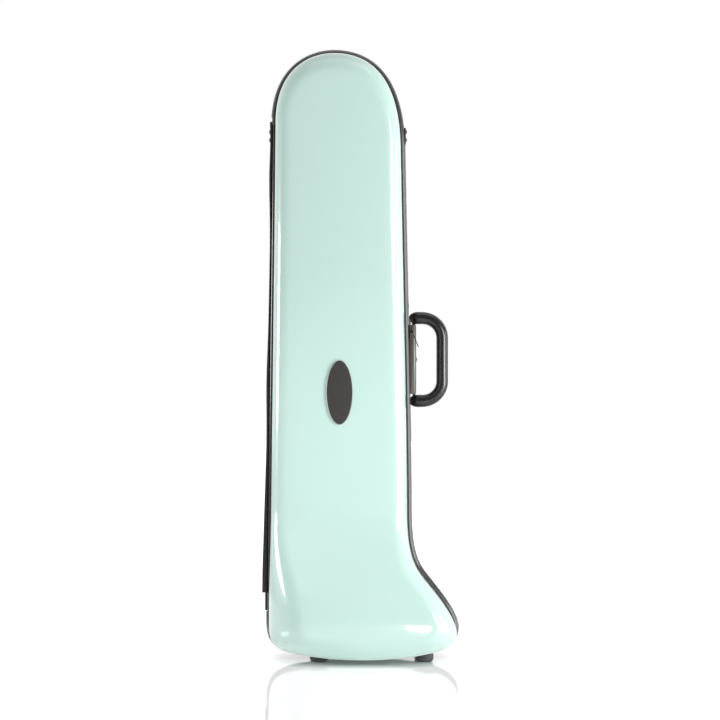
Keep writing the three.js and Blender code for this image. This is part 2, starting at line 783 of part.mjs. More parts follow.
// A foam block across one half, its back corners cut to clear the lining's rounding.
function foamBlock(half, side, bottom, top, near, depth, seats) {
  const deep = Math.min(depthAt(depth, bottom), depthAt(depth, top)) - innerOffset - crown - liningFit;
  const left = Math.max(hingeSideX(bottom), hingeSideX(top)) + half;
  const right = Math.min(handleSideX(bottom), handleSideX(top)) - half;
  const shape = new THREE.Shape();
  shape.moveTo(left, side * near);
  for (const { x, radius } of seats) {
    shape.lineTo(x - radius, side * near);
    shape.absarc(x, side * near, radius, Math.PI, 0, side > 0);
  }
  shape.lineTo(right, side * near);
  shape.lineTo(right, side * (deep - blockChamfer.deep));
  shape.lineTo(right - blockChamfer.wide, side * deep);
  shape.lineTo(left + blockChamfer.wide, side * deep);
  shape.lineTo(left, side * (deep - blockChamfer.deep));
  const options = { depth: top - bottom, bevelEnabled: false, curveSegments: roundSides };
  return new THREE.ExtrudeGeometry(shape, options).translate(0, 0, bottom);
}

const innerOffset = wall + liningFit + liningThick;
const blockSide = innerOffset + liningFit + bodyDraft * backDepth.hip;

// How near the seam a saddle's open side lies in the front half.
const saddleNear = (bottom) =>
  Math.min(depthAt(frontDepth, bottom), depthAt(frontDepth, bottom + saddle.length)) -
  innerOffset -
  crown -
  liningFit -
  saddle.deep;

function slideSaddle(bottom) {
  const seats = [-1, 1].map((side) => ({ x: (side * saddle.spacing) / 2, radius: saddle.groove }));
  const top = bottom + saddle.length;
  return foamBlock(blockSide, -1, bottom, top, saddleNear(bottom), frontDepth, seats);
}

// A flat strap across the saddle's open side.
function slideStrap(bottom) {
  const middle = bottom + saddle.length / 2;
  const y = -saddleNear(bottom) + fit;
  const end = hingeSideX(bottom) + blockSide + blockChamfer.wide;
  const otherEnd = handleSideX(bottom + saddle.length) - blockSide - blockChamfer.wide;
  return block(at(end, y, middle - strap.half), at(otherEnd, y + strap.thick, middle + strap.half));
}

// The strap that arches over the bell's throat, its ends lying on the cradle's shoulders.
function bellStrap() {
  const middle = up.cradle + cradle.high / 2;
  const radius = cradle.seat + strap.thick;
  const y = cradle.near - fit - strap.thick;
  const outer = [];
  const inner = [];
  for (let i = 0; i <= strapSteps; i++) {
    const turn = (i / strapSteps) * Math.PI;
    const x = cradle.seatX - Math.cos(turn) * radius;
    outer.push(at(x, y - Math.sin(turn) * radius, 0));
    const thin = radius - strap.thick;
    inner.push(at(cradle.seatX - Math.cos(turn) * thin, y - Math.sin(turn) * thin, 0));
  }
  const left = cradle.seatX - radius - strap.landing;
  const right = cradle.seatX + radius + strap.landing;
  const shape = new THREE.Shape();
  shape.moveTo(left, y + strap.thick);
  shape.lineTo(left, y);
  for (const p of outer) shape.lineTo(p.x, p.y);
  shape.lineTo(right, y);
  shape.lineTo(right, y + strap.thick);
  for (const p of inner.reverse()) shape.lineTo(p.x, p.y + strap.thick);
  const options = { depth: 2 * strap.half, bevelEnabled: false };
  return new THREE.ExtrudeGeometry(shape, options).translate(0, 0, middle - strap.half);
}

// The accessory box: open towards the front, beside the hinge.
const boxTop = up.box + box.high;
const boxLeft = Math.max(hingeSideX(up.box), hingeSideX(boxTop)) + blockSide;
const boxFar = depthAt(backDepth, boxTop) - innerOffset - crown - liningFit;

function accessoryBox() {
  const right = boxLeft + box.wide;
  const body = block(at(boxLeft, box.near, up.box), at(right, boxFar - blockChamfer.deep, boxTop));
  const hollow = block(
    at(boxLeft + box.wall, box.near - box.wall, up.box + box.wall),
    at(right - box.wall, boxFar - blockChamfer.deep - box.wall, boxTop - box.wall),
  );
  const base = block(
    at(boxLeft + blockChamfer.wide, boxFar - blockChamfer.deep - box.wall, up.box + box.wall),
    at(right - box.wall, boxFar, boxTop - box.wall),
  );
  return joined(cut(body, hollow), base);
}

function accessoryLid() {
  return block(
    at(boxLeft, box.near - fit - lid.thick, up.box),
    at(boxLeft + box.wide, box.near - fit, boxTop),
  );
}

// An oval plate with a bevelled edge, facing -Y in its own frame.
function badgePlate() {
  const shape = new THREE.Shape();
  const wide = badge.halfWide - badge.bevel;
  const high = badge.halfHigh - badge.bevel;
  shape.absellipse(0, 0, wide, high, 0, Math.PI * 2);
  const options = {
    depth: badge.thick - badge.bevel,
    bevelEnabled: true,
    bevelThickness: badge.bevel,
    bevelSize: badge.bevel,
    bevelSegments: 1,
    curveSegments: 2 * roundSides,
  };
  const plateSolid = new THREE.ExtrudeGeometry(shape, options);
  return plateSolid.rotateX(Math.PI / 2);
}

const assembly = new THREE.Group();

function add(name, geometry, material, parent = assembly) {
  const mesh = new THREE.Mesh(geometry, material);
  mesh.name = name;
  parent.add(mesh);
  return mesh;
}

// Shells, linings and rim.
const liningOutset = wall + liningFit;
add("back_shell", halfShell(1, backDepth, 0, wall, shellEdge, filletSteps), colours.cover);
add("front_shell", halfShell(-1, frontDepth, 0, wall, shellEdge, filletSteps), colours.mint);
add(
  "back_lining",
  halfShell(1, backDepth, liningOutset, liningThick, liningEdge, liningSteps),
  colours.plush,
);
add(
  "front_lining",
  halfShell(-1, frontDepth, liningOutset, liningThick, liningEdge, liningSteps),
  colours.plush,
);
for (const [half, side] of [["back", 1], ["front", -1]]) {
  add(`${half}_rim_seal`, rimRing(sealProfile(side)), colours.rubber);
  add(`${half}_zip_tape`, rimRing(bandProfile(tape, side)), colours.zip);
  add(`${half}_zip_coil`, zipCoil(side), colours.zip);
}
add("hinge_strip", hingeStrip(), colours.zip);
add("upper_zip_end", zipEndTab(up.stripTop + zipEnd.upper, up.stripTop + fit), colours.zip);
add("lower_zip_end", zipEndTab(up.stripBottom - fit, up.stripBottom - zipEnd.lower), colours.zip);

// Badge, leaning with the face that it lies on.
const badgeGroup = new THREE.Group();
const faceLow = depthAt(frontDepth, up.badge - badge.halfHigh);
const faceHigh = depthAt(frontDepth, up.badge + badge.halfHigh);
const badgeY = -depthAt(frontDepth, up.badge) - badge.bevel - fit;
badgeGroup.rotation.x = -Math.atan2(faceLow - faceHigh, 2 * badge.halfHigh);
badgeGroup.position.set(badge.x, badgeY, up.badge);
add("badge", badgePlate(), colours.badge, badgeGroup);
assembly.add(badgeGroup);

// Zip sliders and pulls.
const lowerLow = up.slidersMeet - sliderEnd;
const upperLow = up.slidersMeet + slider.gap / 2;
add("upper_zip_slider", zipSlider(upperLow, true, earZ.upper), colours.darkMetal);
add("lower_zip_slider", zipSlider(lowerLow, false, earZ.lower), colours.darkMetal);
for (const [name, kind] of [["upper", "short"], ["lower", "long"]]) {
  const hung = new THREE.Group();
  hung.position.set(earX(earZ[name]), 0, earZ[name]);
  hung.rotation.y = -THREE.MathUtils.degToRad(pullLean[kind]);
  add(`${name}_zip_pull`, zipPull(pullLength[kind]), colours.darkMetal, hung);
  assembly.add(hung);
}

// Handle, its base and its fasteners.
add("handle_plate", handlePlate(), colours.base);
add("handle_bar", handleBar(), colours.base);
add("handle_loop", handleLoop(), colours.grip);
add(
  "lower_handle_pin",
  rod(
    handlePin.radius,
    armZ.low + loop.radius - handlePin.inArm,
    barZ.bottom + handlePin.inBar,
    pivotX,
    handleY,
  ),
  colours.darkMetal,
);
add(
  "upper_handle_pin",
  rod(
    handlePin.radius,
    barZ.top - handlePin.inBar,
    armZ.high - loop.radius + handlePin.inArm,
    pivotX,
    handleY,
  ),
  colours.darkMetal,
);
const plateOuter = handleX + plate.out + fit;
for (const [name, x, z] of [
  ["lower_plate_rivet", plateOuter, plateZ.bottom + rivet.fromEnd],
  ["upper_plate_rivet", plateOuter, plateZ.top - rivet.fromEnd],
  ["bar_rivet", barOuter + fit, up.handle],
]) {
  add(name, rivetHead(rivet).translate(x, handleY, z), colours.darkMetal);
}

// Feet and their screws.
for (const [half, y] of [["front", -frontFootY], ["back", backFootY]]) {
  for (const [side, share] of footXShares) {
    const x = share * bodyHalfWidth;
    add(`${half}_${side}_foot`, rubberFoot(x, y), colours.foot);
    add(`${half}_${side}_foot_screw`, footScrew(x, y), colours.darkMetal);
  }
}

// Strap rings: the upper pair on the sides, the lower pair on the back.
function strapRing(name, origin, out, bow) {
  const group = new THREE.Group();
  const alongBar = new THREE.Vector3().crossVectors(out, bow);
  group.quaternion.setFromRotationMatrix(new THREE.Matrix4().makeBasis(out, bow, alongBar));
  group.position.copy(origin).addScaledVector(out, keeper.out + fit);
  add(`${name}_ring_keeper`, ringKeeper(), colours.darkMetal, group);
  add(`${name}_ring`, wireRing(), colours.darkMetal, group);
  const rivetX = keeper.thick + fit - keeper.out;
  const head = rivetHead(keeperRivet).translate(rivetX, keeperRivet.at, 0);
  add(`${name}_ring_rivet`, head, colours.darkMetal, group);
  assembly.add(group);
}

const [toHandle, toHinge, toBack, toFloor] = [at(1, 0, 0), at(-1, 0, 0), at(0, 1, 0), at(0, 0, -1)];
const keeperFoot = up.upperRing - keeper.length / 2;
const onHandle = at(handleSideX(keeperFoot), upperRingY, up.upperRing);
const onHinge = at(hingeSideX(keeperFoot), upperRingY, up.upperRing);
strapRing("upper_right", onHandle, toHandle, toBack);
strapRing("upper_left", onHinge, toHinge, toBack);
const backFace = depthAt(backDepth, up.lowerRing - keeper.far);
for (const [side, x] of [["right", lowerRingX], ["left", -lowerRingX]]) {
  strapRing(`lower_${side}`, at(spineAtBody + x, backFace, up.lowerRing), toBack, toFloor);
}

// Foam, straps and the accessory box.
add(
  "bell_cradle",
  foamBlock(blockSide, 1, up.cradle, up.cradle + cradle.high, cradle.near, backDepth, [
    { x: cradle.seatX, radius: cradle.seat },
  ]),
  colours.plush,
);
const tuningTop = up.tuningCradle + tuningCradle.high;
add(
  "tuning_slide_cradle",
  foamBlock(blockSide, 1, up.tuningCradle, tuningTop, tuningCradle.near, backDepth, [
    { x: tuningCradle.seatX, radius: tuningCradle.seat },
  ]),
  colours.plush,
);
add("lower_slide_saddle", slideSaddle(up.lowSaddle), colours.plush);
add("upper_slide_saddle", slideSaddle(up.highSaddle), colours.plush);
add("lower_slide_strap", slideStrap(up.lowSaddle), colours.webbing);
add("upper_slide_strap", slideStrap(up.highSaddle), colours.webbing);
add("bell_strap", bellStrap(), colours.webbing);
add("accessory_box", accessoryBox(), colours.plush);
add("accessory_lid", accessoryLid(), colours.plush);

// The part's origin is under the middle of its box, on the floor.
const bounds = new THREE.Box3().setFromObject(assembly, true);
const middle = bounds.getCenter(new THREE.Vector3());
assembly.position.set(-middle.x, -middle.y, -bounds.min.z);
const tromboneCase = new THREE.Group();
tromboneCase.add(assembly);

export default tromboneCase;
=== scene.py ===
# %% [markdown]
# # A hard-shell trombone case, dressed for a studio photograph
# The case stands upright on its bell end. Its front half is a glossy moulded shell, its back half is
# covered in cloth, and a rubber edge with a zip runs all round between them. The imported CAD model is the
# frame: every piece made here takes its place from it and moves with one of its bodies.

# %% Load the frame
import json
import math

import bmesh
import bpy
import numpy as np
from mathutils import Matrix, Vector

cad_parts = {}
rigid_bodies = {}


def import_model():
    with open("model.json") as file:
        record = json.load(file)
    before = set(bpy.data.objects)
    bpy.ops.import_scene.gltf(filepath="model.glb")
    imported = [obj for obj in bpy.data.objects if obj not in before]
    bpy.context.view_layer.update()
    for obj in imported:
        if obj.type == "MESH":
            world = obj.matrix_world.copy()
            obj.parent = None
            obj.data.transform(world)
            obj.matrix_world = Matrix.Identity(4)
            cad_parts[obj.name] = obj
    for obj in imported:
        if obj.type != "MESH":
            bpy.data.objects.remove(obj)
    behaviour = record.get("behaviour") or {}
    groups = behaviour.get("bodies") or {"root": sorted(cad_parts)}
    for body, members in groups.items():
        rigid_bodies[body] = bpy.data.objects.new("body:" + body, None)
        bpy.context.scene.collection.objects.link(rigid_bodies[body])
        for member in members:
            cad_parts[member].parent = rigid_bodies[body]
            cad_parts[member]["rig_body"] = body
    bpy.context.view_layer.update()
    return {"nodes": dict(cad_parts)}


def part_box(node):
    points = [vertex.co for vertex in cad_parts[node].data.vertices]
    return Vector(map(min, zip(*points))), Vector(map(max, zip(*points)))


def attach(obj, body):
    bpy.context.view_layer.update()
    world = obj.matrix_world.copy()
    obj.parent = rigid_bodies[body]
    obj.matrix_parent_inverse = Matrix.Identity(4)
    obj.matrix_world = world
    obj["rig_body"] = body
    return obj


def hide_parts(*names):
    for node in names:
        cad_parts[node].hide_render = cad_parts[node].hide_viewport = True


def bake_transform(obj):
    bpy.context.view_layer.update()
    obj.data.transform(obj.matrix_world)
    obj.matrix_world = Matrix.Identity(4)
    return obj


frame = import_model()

NODES = frame["nodes"]
MM = 0.001

# %% [markdown]
# ## Measures
# The case is drawn in millimetres, with x across the front from the middle of the arch, y from the seam
# towards the back and z up from the floor. One function turns such a point into the frame's metres. SHIFT is
# where the drawing's origin lies in the frame.

# %% Measures of the shells
SHIFT = np.array([-35.2665, 6.9924, 0.0])
HALF_WIDTH, SHELL_HEIGHT, FLOOR_GAP = 100.0, 930.2, 7.0
SHELL_TOP = FLOOR_GAP + SHELL_HEIGHT
WALL = 3.2
SHELL_EDGE = 6.0  # each shell stops this far from the seam
FRONT_DEPTH = {"top": 60.0, "hip": 80.0, "bell": 140.0}
BACK_DEPTH = {"top": 55.0, "hip": 70.0, "bell": 126.0}
CROWN = 2.5  # how much fuller the face is in its middle
DRAFT = 0.05  # how far a wall leans in, for each millimetre away from the seam
ROUND_SHARE = {"body": 1.6, "bell": 1.25}  # depth of the rounding, as a share of its width
INSET = {  # width of the rounding on each stretch of the rim
    "bottom": 34.0, "bellCorner": 46.0, "bellSide": 34.0, "flare": 24.0, "handleSide": 16.0,
    "top": 24.0, "hingeSide": 18.0, "heel": 55.0, "heelBottom": 54.0,
}


def height(share):
    """Millimetres above the floor, from a share of the shells' height."""
    return FLOOR_GAP + share * SHELL_HEIGHT


BELL_FULL, BELL_START, DRAFT_START = height(0.05698), height(0.25048), height(0.07848)
SPINE_LOW, SPINE_HIGH = height(0.09138), height(0.89336)
SPINE_BELL, SPINE_BODY = 38.0, 1.0


def to_frame(points):
    """Millimetre points of the drawing as metres in the frame."""
    return (np.asarray(points, float) + SHIFT) * MM


def smoothstep(value, low, high):
    """0 below low, 1 above high and a soft step between them."""
    t = np.clip((value - low) / (high - low), 0, 1)
    return t * t * (3 - 2 * t)


def lerp(a, b, share):
    """The value at a share of the way from a to b."""
    return a + (b - a) * share


# %% [markdown]
# ## The rim
# Seen from the front, the seam is one closed line: a flat bottom, the bell's corner, the flare, two long
# sides and the arch. It is drawn with eleven cubic curves and then sampled evenly, with the same number of
# points up the handle side as down the hinge side, so that a shell's face can be closed straight across.

# %% The rim as cubic curves
RIM_CURVES = [
    ((0.38, 0), (0.86, 0), (1.25, 0.0045), (1.49, 0.0108), "bottom", "bellCorner"),
    ((1.49, 0.0108), (1.66, 0.0152), (1.83, 0.028), (1.813, 0.0463), "bellCorner", "bellSide"),
    ((1.813, 0.0463), (1.802, 0.0635), (1.624, 0.0909), (1.45, 0.1146), "bellSide", "flare"),
    ((1.45, 0.1146), (1.22, 0.1458), (1.076, 0.1539), (1.084, 0.2497), "flare", "handleSide"),
    ((1.084, 0.2497), (1.073, 0.4229), (1.006, 0.6812), (0.982, 0.8415), "handleSide", "handleSide"),
    ((0.982, 0.8415), (0.964, 0.9577), (0.52, 1), (-0.06, 1), "handleSide", "top"),
    ((-0.06, 1), (-0.42, 1), (-0.963, 0.976), (-0.973, 0.8835), "top", "hingeSide"),
    ((-0.973, 0.8835), (-0.994, 0.6338), (-1.023, 0.4261), (-1.046, 0.2184), "hingeSide", "hingeSide"),
    ((-1.046, 0.2184), (-1.05, 0.1646), (-1.049, 0.113), (-1.049, 0.0592), "hingeSide", "heel"),
    ((-1.049, 0.0592), (-1.052, 0.0252), (-0.98, 0.0156), (-0.73, 0.0093), "heel", "heelBottom"),
    ((-0.73, 0.0093), (-0.45, 0.0026), (-0.06, 0), (0.38, 0), "heelBottom", "bottom"),
]
# The curves of each stretch, and how many points it gets.
SECTIONS = [((0, 1, 2, 3), 96), ((4,), 64), ((5,), 52), ((6,), 52), ((7,), 64), ((8, 9, 10), 96)]
FINE = 80  # samples of each curve, before they are spaced evenly


def curve_samples(curve):
    """Fine samples of one curve: x, z and the width of the rounding there."""
    *knots, first, last = curve
    t = np.linspace(0, 1, FINE, endpoint=False)[:, None]
    k = np.array([(x * HALF_WIDTH, height(z)) for x, z in knots])
    p = (1 - t) ** 3 * k[0] + 3 * (1 - t) ** 2 * t * k[1] + 3 * (1 - t) * t ** 2 * k[2] + t ** 3 * k[3]
    inset = lerp(INSET[first], INSET[last], smoothstep(t, 0, 1))
    return np.hstack([p, inset])


def even_section(curves, count, end):
    """count samples at even steps along some curves in a row."""
    fine = np.vstack([curve_samples(RIM_CURVES[i]) for i in curves] + [end])
    run = np.concatenate([[0], np.cumsum(np.linalg.norm(np.diff(fine[:, :2], axis=0), axis=1))])
    at = np.linspace(0, run[-1], count, endpoint=False)
    return np.column_stack([np.interp(at, run, fine[:, k]) for k in range(3)])


def soften(values, passes):
    """Rounds small kinks off a closed row of values."""
    for _ in range(passes):
        values = (np.roll(values, 1, axis=0) + 2 * values + np.roll(values, -1, axis=0)) / 4
    return values


starts = [curve_samples(RIM_CURVES[s[0][0]])[:1] for s in SECTIONS]
RIM = np.vstack([even_section(c, n, starts[(i + 1) % len(SECTIONS)]) for i, (c, n) in enumerate(SECTIONS)])
RIM = soften(RIM, 3)
COUNT = len(RIM)
TOP = COUNT // 2
RIM_XZ, RIM_INSET = RIM[:, :2], RIM[:, 2]
along = np.roll(RIM_XZ, -1, axis=0) - np.roll(RIM_XZ, 1, axis=0)
along /= np.linalg.norm(along, axis=1)[:, None]
RIM_OUT = np.column_stack([along[:, 1], -along[:, 0]])
print("rim:", COUNT, "places,", round(float(np.linalg.norm(np.diff(RIM_XZ, axis=0), axis=1).sum())), "mm round")


def rim_index(side, z):
    """The share of an index where the handle or the hinge side crosses a height."""
    span = range(0, TOP) if side == "handle" else range(TOP, COUNT)
    for i in span:
        a, b = RIM_XZ[i, 1], RIM_XZ[(i + 1) % COUNT, 1]
        if (a - z) * (b - z) <= 0 and a != b:
            return i + (z - a) / (b - a)
    raise ValueError(f"the rim has no height {z}")


def rim_at(index):
    """The place and the outward direction at any share of an index."""
    i = int(math.floor(index))
    share = index - i
    j, k = i % COUNT, (i + 1) % COUNT
    out = lerp(RIM_OUT[j], RIM_OUT[k], share)
    return lerp(RIM_XZ[j], RIM_XZ[k], share), out / np.linalg.norm(out)


def off_rim(out, y):
    """The whole rim, moved outwards and set at a depth."""
    xz = RIM_XZ + RIM_OUT * out
    return np.column_stack([xz[:, 0], np.full(COUNT, float(y)), xz[:, 1]])


def side_x(side, z):
    """How far across the rim is at a height of one side."""
    return rim_at(rim_index(side, z))[0][0]


# %% [markdown]
# ## Growing a mesh ring by ring
# Most pieces of the case are rings of points joined by quads: a shell is the rim drawn in ring after ring,
# a seal is the rim repeated round its profile. Extruding a ring of edges and moving the new points is the
# one step behind them all. Modifiers finish them: a live Solidify gives a wall, a live Bevel rounds edges.

# %% Helpers that grow meshes
MERGE = 2e-6


def ring_edges(bm, ring, closed=True):
    """The edges between neighbours of a ring."""
    last = len(ring) if closed else len(ring) - 1
    return [bm.edges.get((ring[i], ring[(i + 1) % len(ring)])) for i in range(last)]


def first_ring(bm, points):
    """A closed ring of edges on the points, in millimetres."""
    made = bmesh.ops.create_circle(bm, cap_ends=False, segments=len(points), radius=1)
    ring = list(made["verts"])
    for v, p in zip(ring, to_frame(points)):
        v.co = p
    return ring


def grow_ring(bm, ring, points, closed=True):
    """Extrudes a ring and puts the new one on the points."""
    made = bmesh.ops.extrude_edge_only(bm, edges=ring_edges(bm, ring, closed))["geom"]
    fresh = {g for g in made if isinstance(g, bmesh.types.BMVert)}
    new = [next(e.other_vert(v) for e in v.link_edges if e.other_vert(v) in fresh) for v in ring]
    for v, p in zip(new, to_frame(points)):
        v.co = p
    return new


def close_ring(bm, ring):
    """Closes a small ring with one face."""
    bmesh.ops.contextual_create(bm, geom=ring_edges(bm, ring))


def finish_mesh(bm, name, smooth=True):
    """Turns the faces outwards and makes the mesh an object."""
    bmesh.ops.remove_doubles(bm, verts=bm.verts, dist=MERGE)
    bmesh.ops.recalc_face_normals(bm, faces=bm.faces)
    for face in bm.faces:
        face.smooth = smooth
    mesh = bpy.data.meshes.new(name)
    bm.to_mesh(mesh)
    bm.free()
    piece = bpy.data.objects.new(name, mesh)
    bpy.context.scene.collection.objects.link(piece)
    return piece


def dress(piece, body, slot, material, *replaced):
    """Gives a piece its body, its finish and the CAD nodes that it stands for.

    Cloth across a joint gets no body here.
    """
    piece.data.materials.clear()
    piece.data.materials.append(material)
    if body:
        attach(piece, body)
    if replaced:
        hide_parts(*replaced)
    print(piece.name, len(piece.data.polygons), "faces")


# %% Helpers that finish meshes
BEVEL_STEPS, BEVEL_FROM = 3, 35


def solidify(piece, thickness, even=True):
    """Gives an open surface a wall inside it: even for a hard wall, looser in the creases for padding."""
    made = piece.modifiers.new("wall", "SOLIDIFY")
    made.thickness = thickness * MM
    made.offset = -1
    made.use_even_offset = even
    made.use_quality_normals = not even
    return piece


def bevelled(piece, width):
    """A live bevel on the edges that turn by more than BEVEL_FROM degrees."""
    made = piece.modifiers.new("edges", "BEVEL")
    made.width = width * MM
    made.segments = BEVEL_STEPS
    made.limit_method = "ANGLE"
    made.angle_limit = math.radians(BEVEL_FROM)
    made.harden_normals = False
    return piece


def rounded(piece, angle=40):
    """Smooth shading that keeps edges sharper than the angle."""
    piece.data.shade_smooth()
    piece.data.set_sharp_from_angle(angle=math.radians(angle))
    return piece


# %% [markdown]
# ## Materials
# Painted textures would need a picture for each piece. Here each finish is a node tree on object coordinates
# instead, so its grain keeps its real size on every piece. Small groups hold what several finishes share: a
# fine noise grain, and a woven cloth. Colours are written as the sRGB codes of a picture editor.

# %% Shared shader groups
def colour(hex_code):
    """A written sRGB colour as linear RGBA."""
    parts = [int(hex_code[i:i + 2], 16) / 255 for i in (0, 2, 4)]
    return tuple(p / 12.92 if p <= 0.04045 else ((p + 0.055) / 1.055) ** 2.4 for p in parts) + (1,)


def new_group(name, inputs, outputs):
    """An empty shader group with its sockets and its two end nodes."""
    group = bpy.data.node_groups.new(name, "ShaderNodeTree")
    for label, kind, value in inputs:
        socket = group.interface.new_socket(label, in_out="INPUT", socket_type=kind)
        if value is not None:
            socket.default_value = value
    for label, kind in outputs:
        group.interface.new_socket(label, in_out="OUTPUT", socket_type=kind)
    return group, group.nodes.new("NodeGroupInput"), group.nodes.new("NodeGroupOutput")


def node(tree, kind, **values):
    """A node with its plain values set; names of sockets have underscores for spaces."""
    made = tree.nodes.new(kind)
    for key, value in values.items():
        label = key.replace("_", " ")
        if label in made.inputs:
            made.inputs[label].default_value = value
        else:
            setattr(made, key, value)
    return made


def wire_up(tree, *links):
    """Joins each output to its input."""
    for output, socket in links:
        tree.links.new(output, socket)


# %% A grain and a weave
def grain_group():
    """Two sizes of noise: the fine one is a height for bumps, the broad one mixes two colours."""
    group, start, end = new_group(
        "surface_grain",
        [("Fine", "NodeSocketFloat", 2000.0), ("Broad", "NodeSocketFloat", 20.0),
         ("Colour A", "NodeSocketColor", None), ("Colour B", "NodeSocketColor", None)],
        [("Color", "NodeSocketColor"), ("Height", "NodeSocketFloat")],
    )
    coords = node(group, "ShaderNodeTexCoord")
    fine = node(group, "ShaderNodeTexNoise", Detail=3.0)
    broad = node(group, "ShaderNodeTexNoise", Detail=2.0)
    mix = node(group, "ShaderNodeMix", data_type="RGBA")
    wire_up(
        group,
        (coords.outputs["Object"], fine.inputs["Vector"]),
        (coords.outputs["Object"], broad.inputs["Vector"]),
        (start.outputs["Fine"], fine.inputs["Scale"]),
        (start.outputs["Broad"], broad.inputs["Scale"]),
        (broad.outputs["Fac"], mix.inputs["Factor"]),
        (start.outputs["Colour A"], mix.inputs["A"]),
        (start.outputs["Colour B"], mix.inputs["B"]),
        (mix.outputs["Result"], end.inputs["Color"]),
        (fine.outputs["Fac"], end.inputs["Height"]),
    )
    return group


THREAD_SHARE, FLECK_SHARE = 0.6, 0.4


def weave_group():
    """Plain weave: rows of threads crossing on the front and on the sides, with flecks in the colour."""
    group, start, end = new_group(
        "woven_cloth",
        [("Threads", "NodeSocketFloat", 1400.0), ("Colour A", "NodeSocketColor", None),
         ("Colour B", "NodeSocketColor", None)],
        [("Color", "NodeSocketColor"), ("Height", "NodeSocketFloat")],
    )
    coords = node(group, "ShaderNodeTexCoord")
    waves = {}
    for axis in "XYZ":
        wave = node(group, "ShaderNodeTexWave", bands_direction=axis, Distortion=0.6, Detail=1.0)
        wire_up(
            group,
            (coords.outputs["Object"], wave.inputs["Vector"]),
            (start.outputs["Threads"], wave.inputs["Scale"]),
        )
        waves[axis] = wave.outputs["Fac"]
    front = node(group, "ShaderNodeMath", operation="MULTIPLY")
    sides = node(group, "ShaderNodeMath", operation="MULTIPLY")
    weave = node(group, "ShaderNodeMath", operation="MAXIMUM")
    fleck = node(group, "ShaderNodeTexNoise", Scale=260.0, Detail=2.0)
    faint = node(group, "ShaderNodeMath", operation="MULTIPLY")
    both = node(group, "ShaderNodeMath", operation="MULTIPLY_ADD")
    faint.inputs[1].default_value = FLECK_SHARE
    both.inputs[1].default_value = THREAD_SHARE
    mix = node(group, "ShaderNodeMix", data_type="RGBA")
    wire_up(
        group,
        (waves["X"], front.inputs[0]), (waves["Z"], front.inputs[1]),
        (waves["Y"], sides.inputs[0]), (waves["Z"], sides.inputs[1]),
        (front.outputs[0], weave.inputs[0]), (sides.outputs[0], weave.inputs[1]),
        (coords.outputs["Object"], fleck.inputs["Vector"]), (fleck.outputs["Fac"], faint.inputs[0]),
        (weave.outputs[0], both.inputs[0]), (faint.outputs[0], both.inputs[2]),
        (both.outputs[0], mix.inputs["Factor"]),
        (start.outputs["Colour A"], mix.inputs["A"]), (start.outputs["Colour B"], mix.inputs["B"]),
        (mix.outputs["Result"], end.inputs["Color"]), (weave.outputs[0], end.inputs["Height"]),
    )
    return group


GRAIN, WEAVE = grain_group(), weave_group()


# %% A finish
def finish(name, group, colours, bump, distance, group_values, **shader):
    """A material: one shared group feeding a Principled shader and a bump."""
    material = bpy.data.materials.new(name)
    material.use_nodes = True
    tree = material.node_tree
    principled = tree.nodes["Principled BSDF"]
    for key, value in shader.items():
        principled.inputs[key.replace("_", " ")].default_value = value
    source = node(tree, "ShaderNodeGroup", node_tree=group)
    source.inputs["Colour A"].default_value = colour(colours[0])
    source.inputs["Colour B"].default_value = colour(colours[1])
    for key, value in group_values.items():
        source.inputs[key].default_value = value
    bumps = node(tree, "ShaderNodeBump", Strength=bump, Distance=distance)
    wire_up(
        tree,
        (source.outputs["Color"], principled.inputs["Base Color"]),
        (source.outputs["Height"], bumps.inputs["Height"]),
        (bumps.outputs["Normal"], principled.inputs["Normal"]),
    )
    print("finish", name)
    return material


# %% The finishes
MINT = finish(
    "mint_gloss", GRAIN, ("b7d3cc", "bad6ce"), 0.01, 0.0002, {"Fine": 900.0, "Broad": 9.0},
    Roughness=0.22, Coat_Weight=1.0, Coat_Roughness=0.03, Specular_IOR_Level=0.5,
)
COVER = finish(
    "charcoal_cloth", WEAVE, ("332f32", "403a42"), 0.2, 0.0003, {"Threads": 1400.0},
    Roughness=0.85, Sheen_Weight=0.3,
)
RUBBER = finish(
    "rim_rubber", GRAIN, ("1f211c", "2a2b26"), 0.05, 0.0002, {"Fine": 1500.0, "Broad": 60.0},
    Roughness=0.17, Specular_IOR_Level=0.8,
)
ZIP_CLOTH = finish(
    "zip_cloth", WEAVE, ("241e20", "3a3034"), 0.5, 0.0003, {"Threads": 1800.0}, Roughness=0.8, Sheen_Weight=0.2,
)
ZIP_TEETH = finish(
    "zip_teeth", GRAIN, ("2a2527", "352f31"), 0.1, 0.0001, {"Fine": 1500.0, "Broad": 90.0}, Roughness=0.45,
)
STEEL = finish(
    "dark_steel", GRAIN, ("2b2927", "3d3a37"), 0.08, 0.0001, {"Fine": 3000.0, "Broad": 120.0},
    Roughness=0.3, Metallic=0.9,
)
BADGE = finish(
    "badge_plate", GRAIN, ("292725", "393633"), 0.7, 0.0004, {"Fine": 900.0, "Broad": 300.0}, Roughness=0.42,
)
# The border's pale grey is a painted highlight: it stands for the bright glint along the badge's bevel.
BADGE_GLINT_RIM = finish(
    "badge_border_painted_glint", GRAIN, ("a9b0a9", "b4bbb3"), 0.03, 0.0002, {"Fine": 900.0, "Broad": 60.0},
    Roughness=0.25, Coat_Weight=0.6, Coat_Roughness=0.08,
)
THREAD = finish(
    "dark_thread", GRAIN, ("2c2527", "453a3e"), 0.3, 0.0001, {"Fine": 3000.0, "Broad": 400.0}, Roughness=0.7,
)
GRIP = finish(
    "handle_grip", GRAIN, ("0f100e", "141513"), 0.03, 0.0001, {"Fine": 1600.0, "Broad": 80.0},
    Roughness=0.2, Specular_IOR_Level=0.65,
)
BASE = finish(
    "handle_base", GRAIN, ("4c4a45", "585650"), 0.04, 0.0001, {"Fine": 1600.0, "Broad": 80.0},
    Roughness=0.3, Specular_IOR_Level=0.8,
)
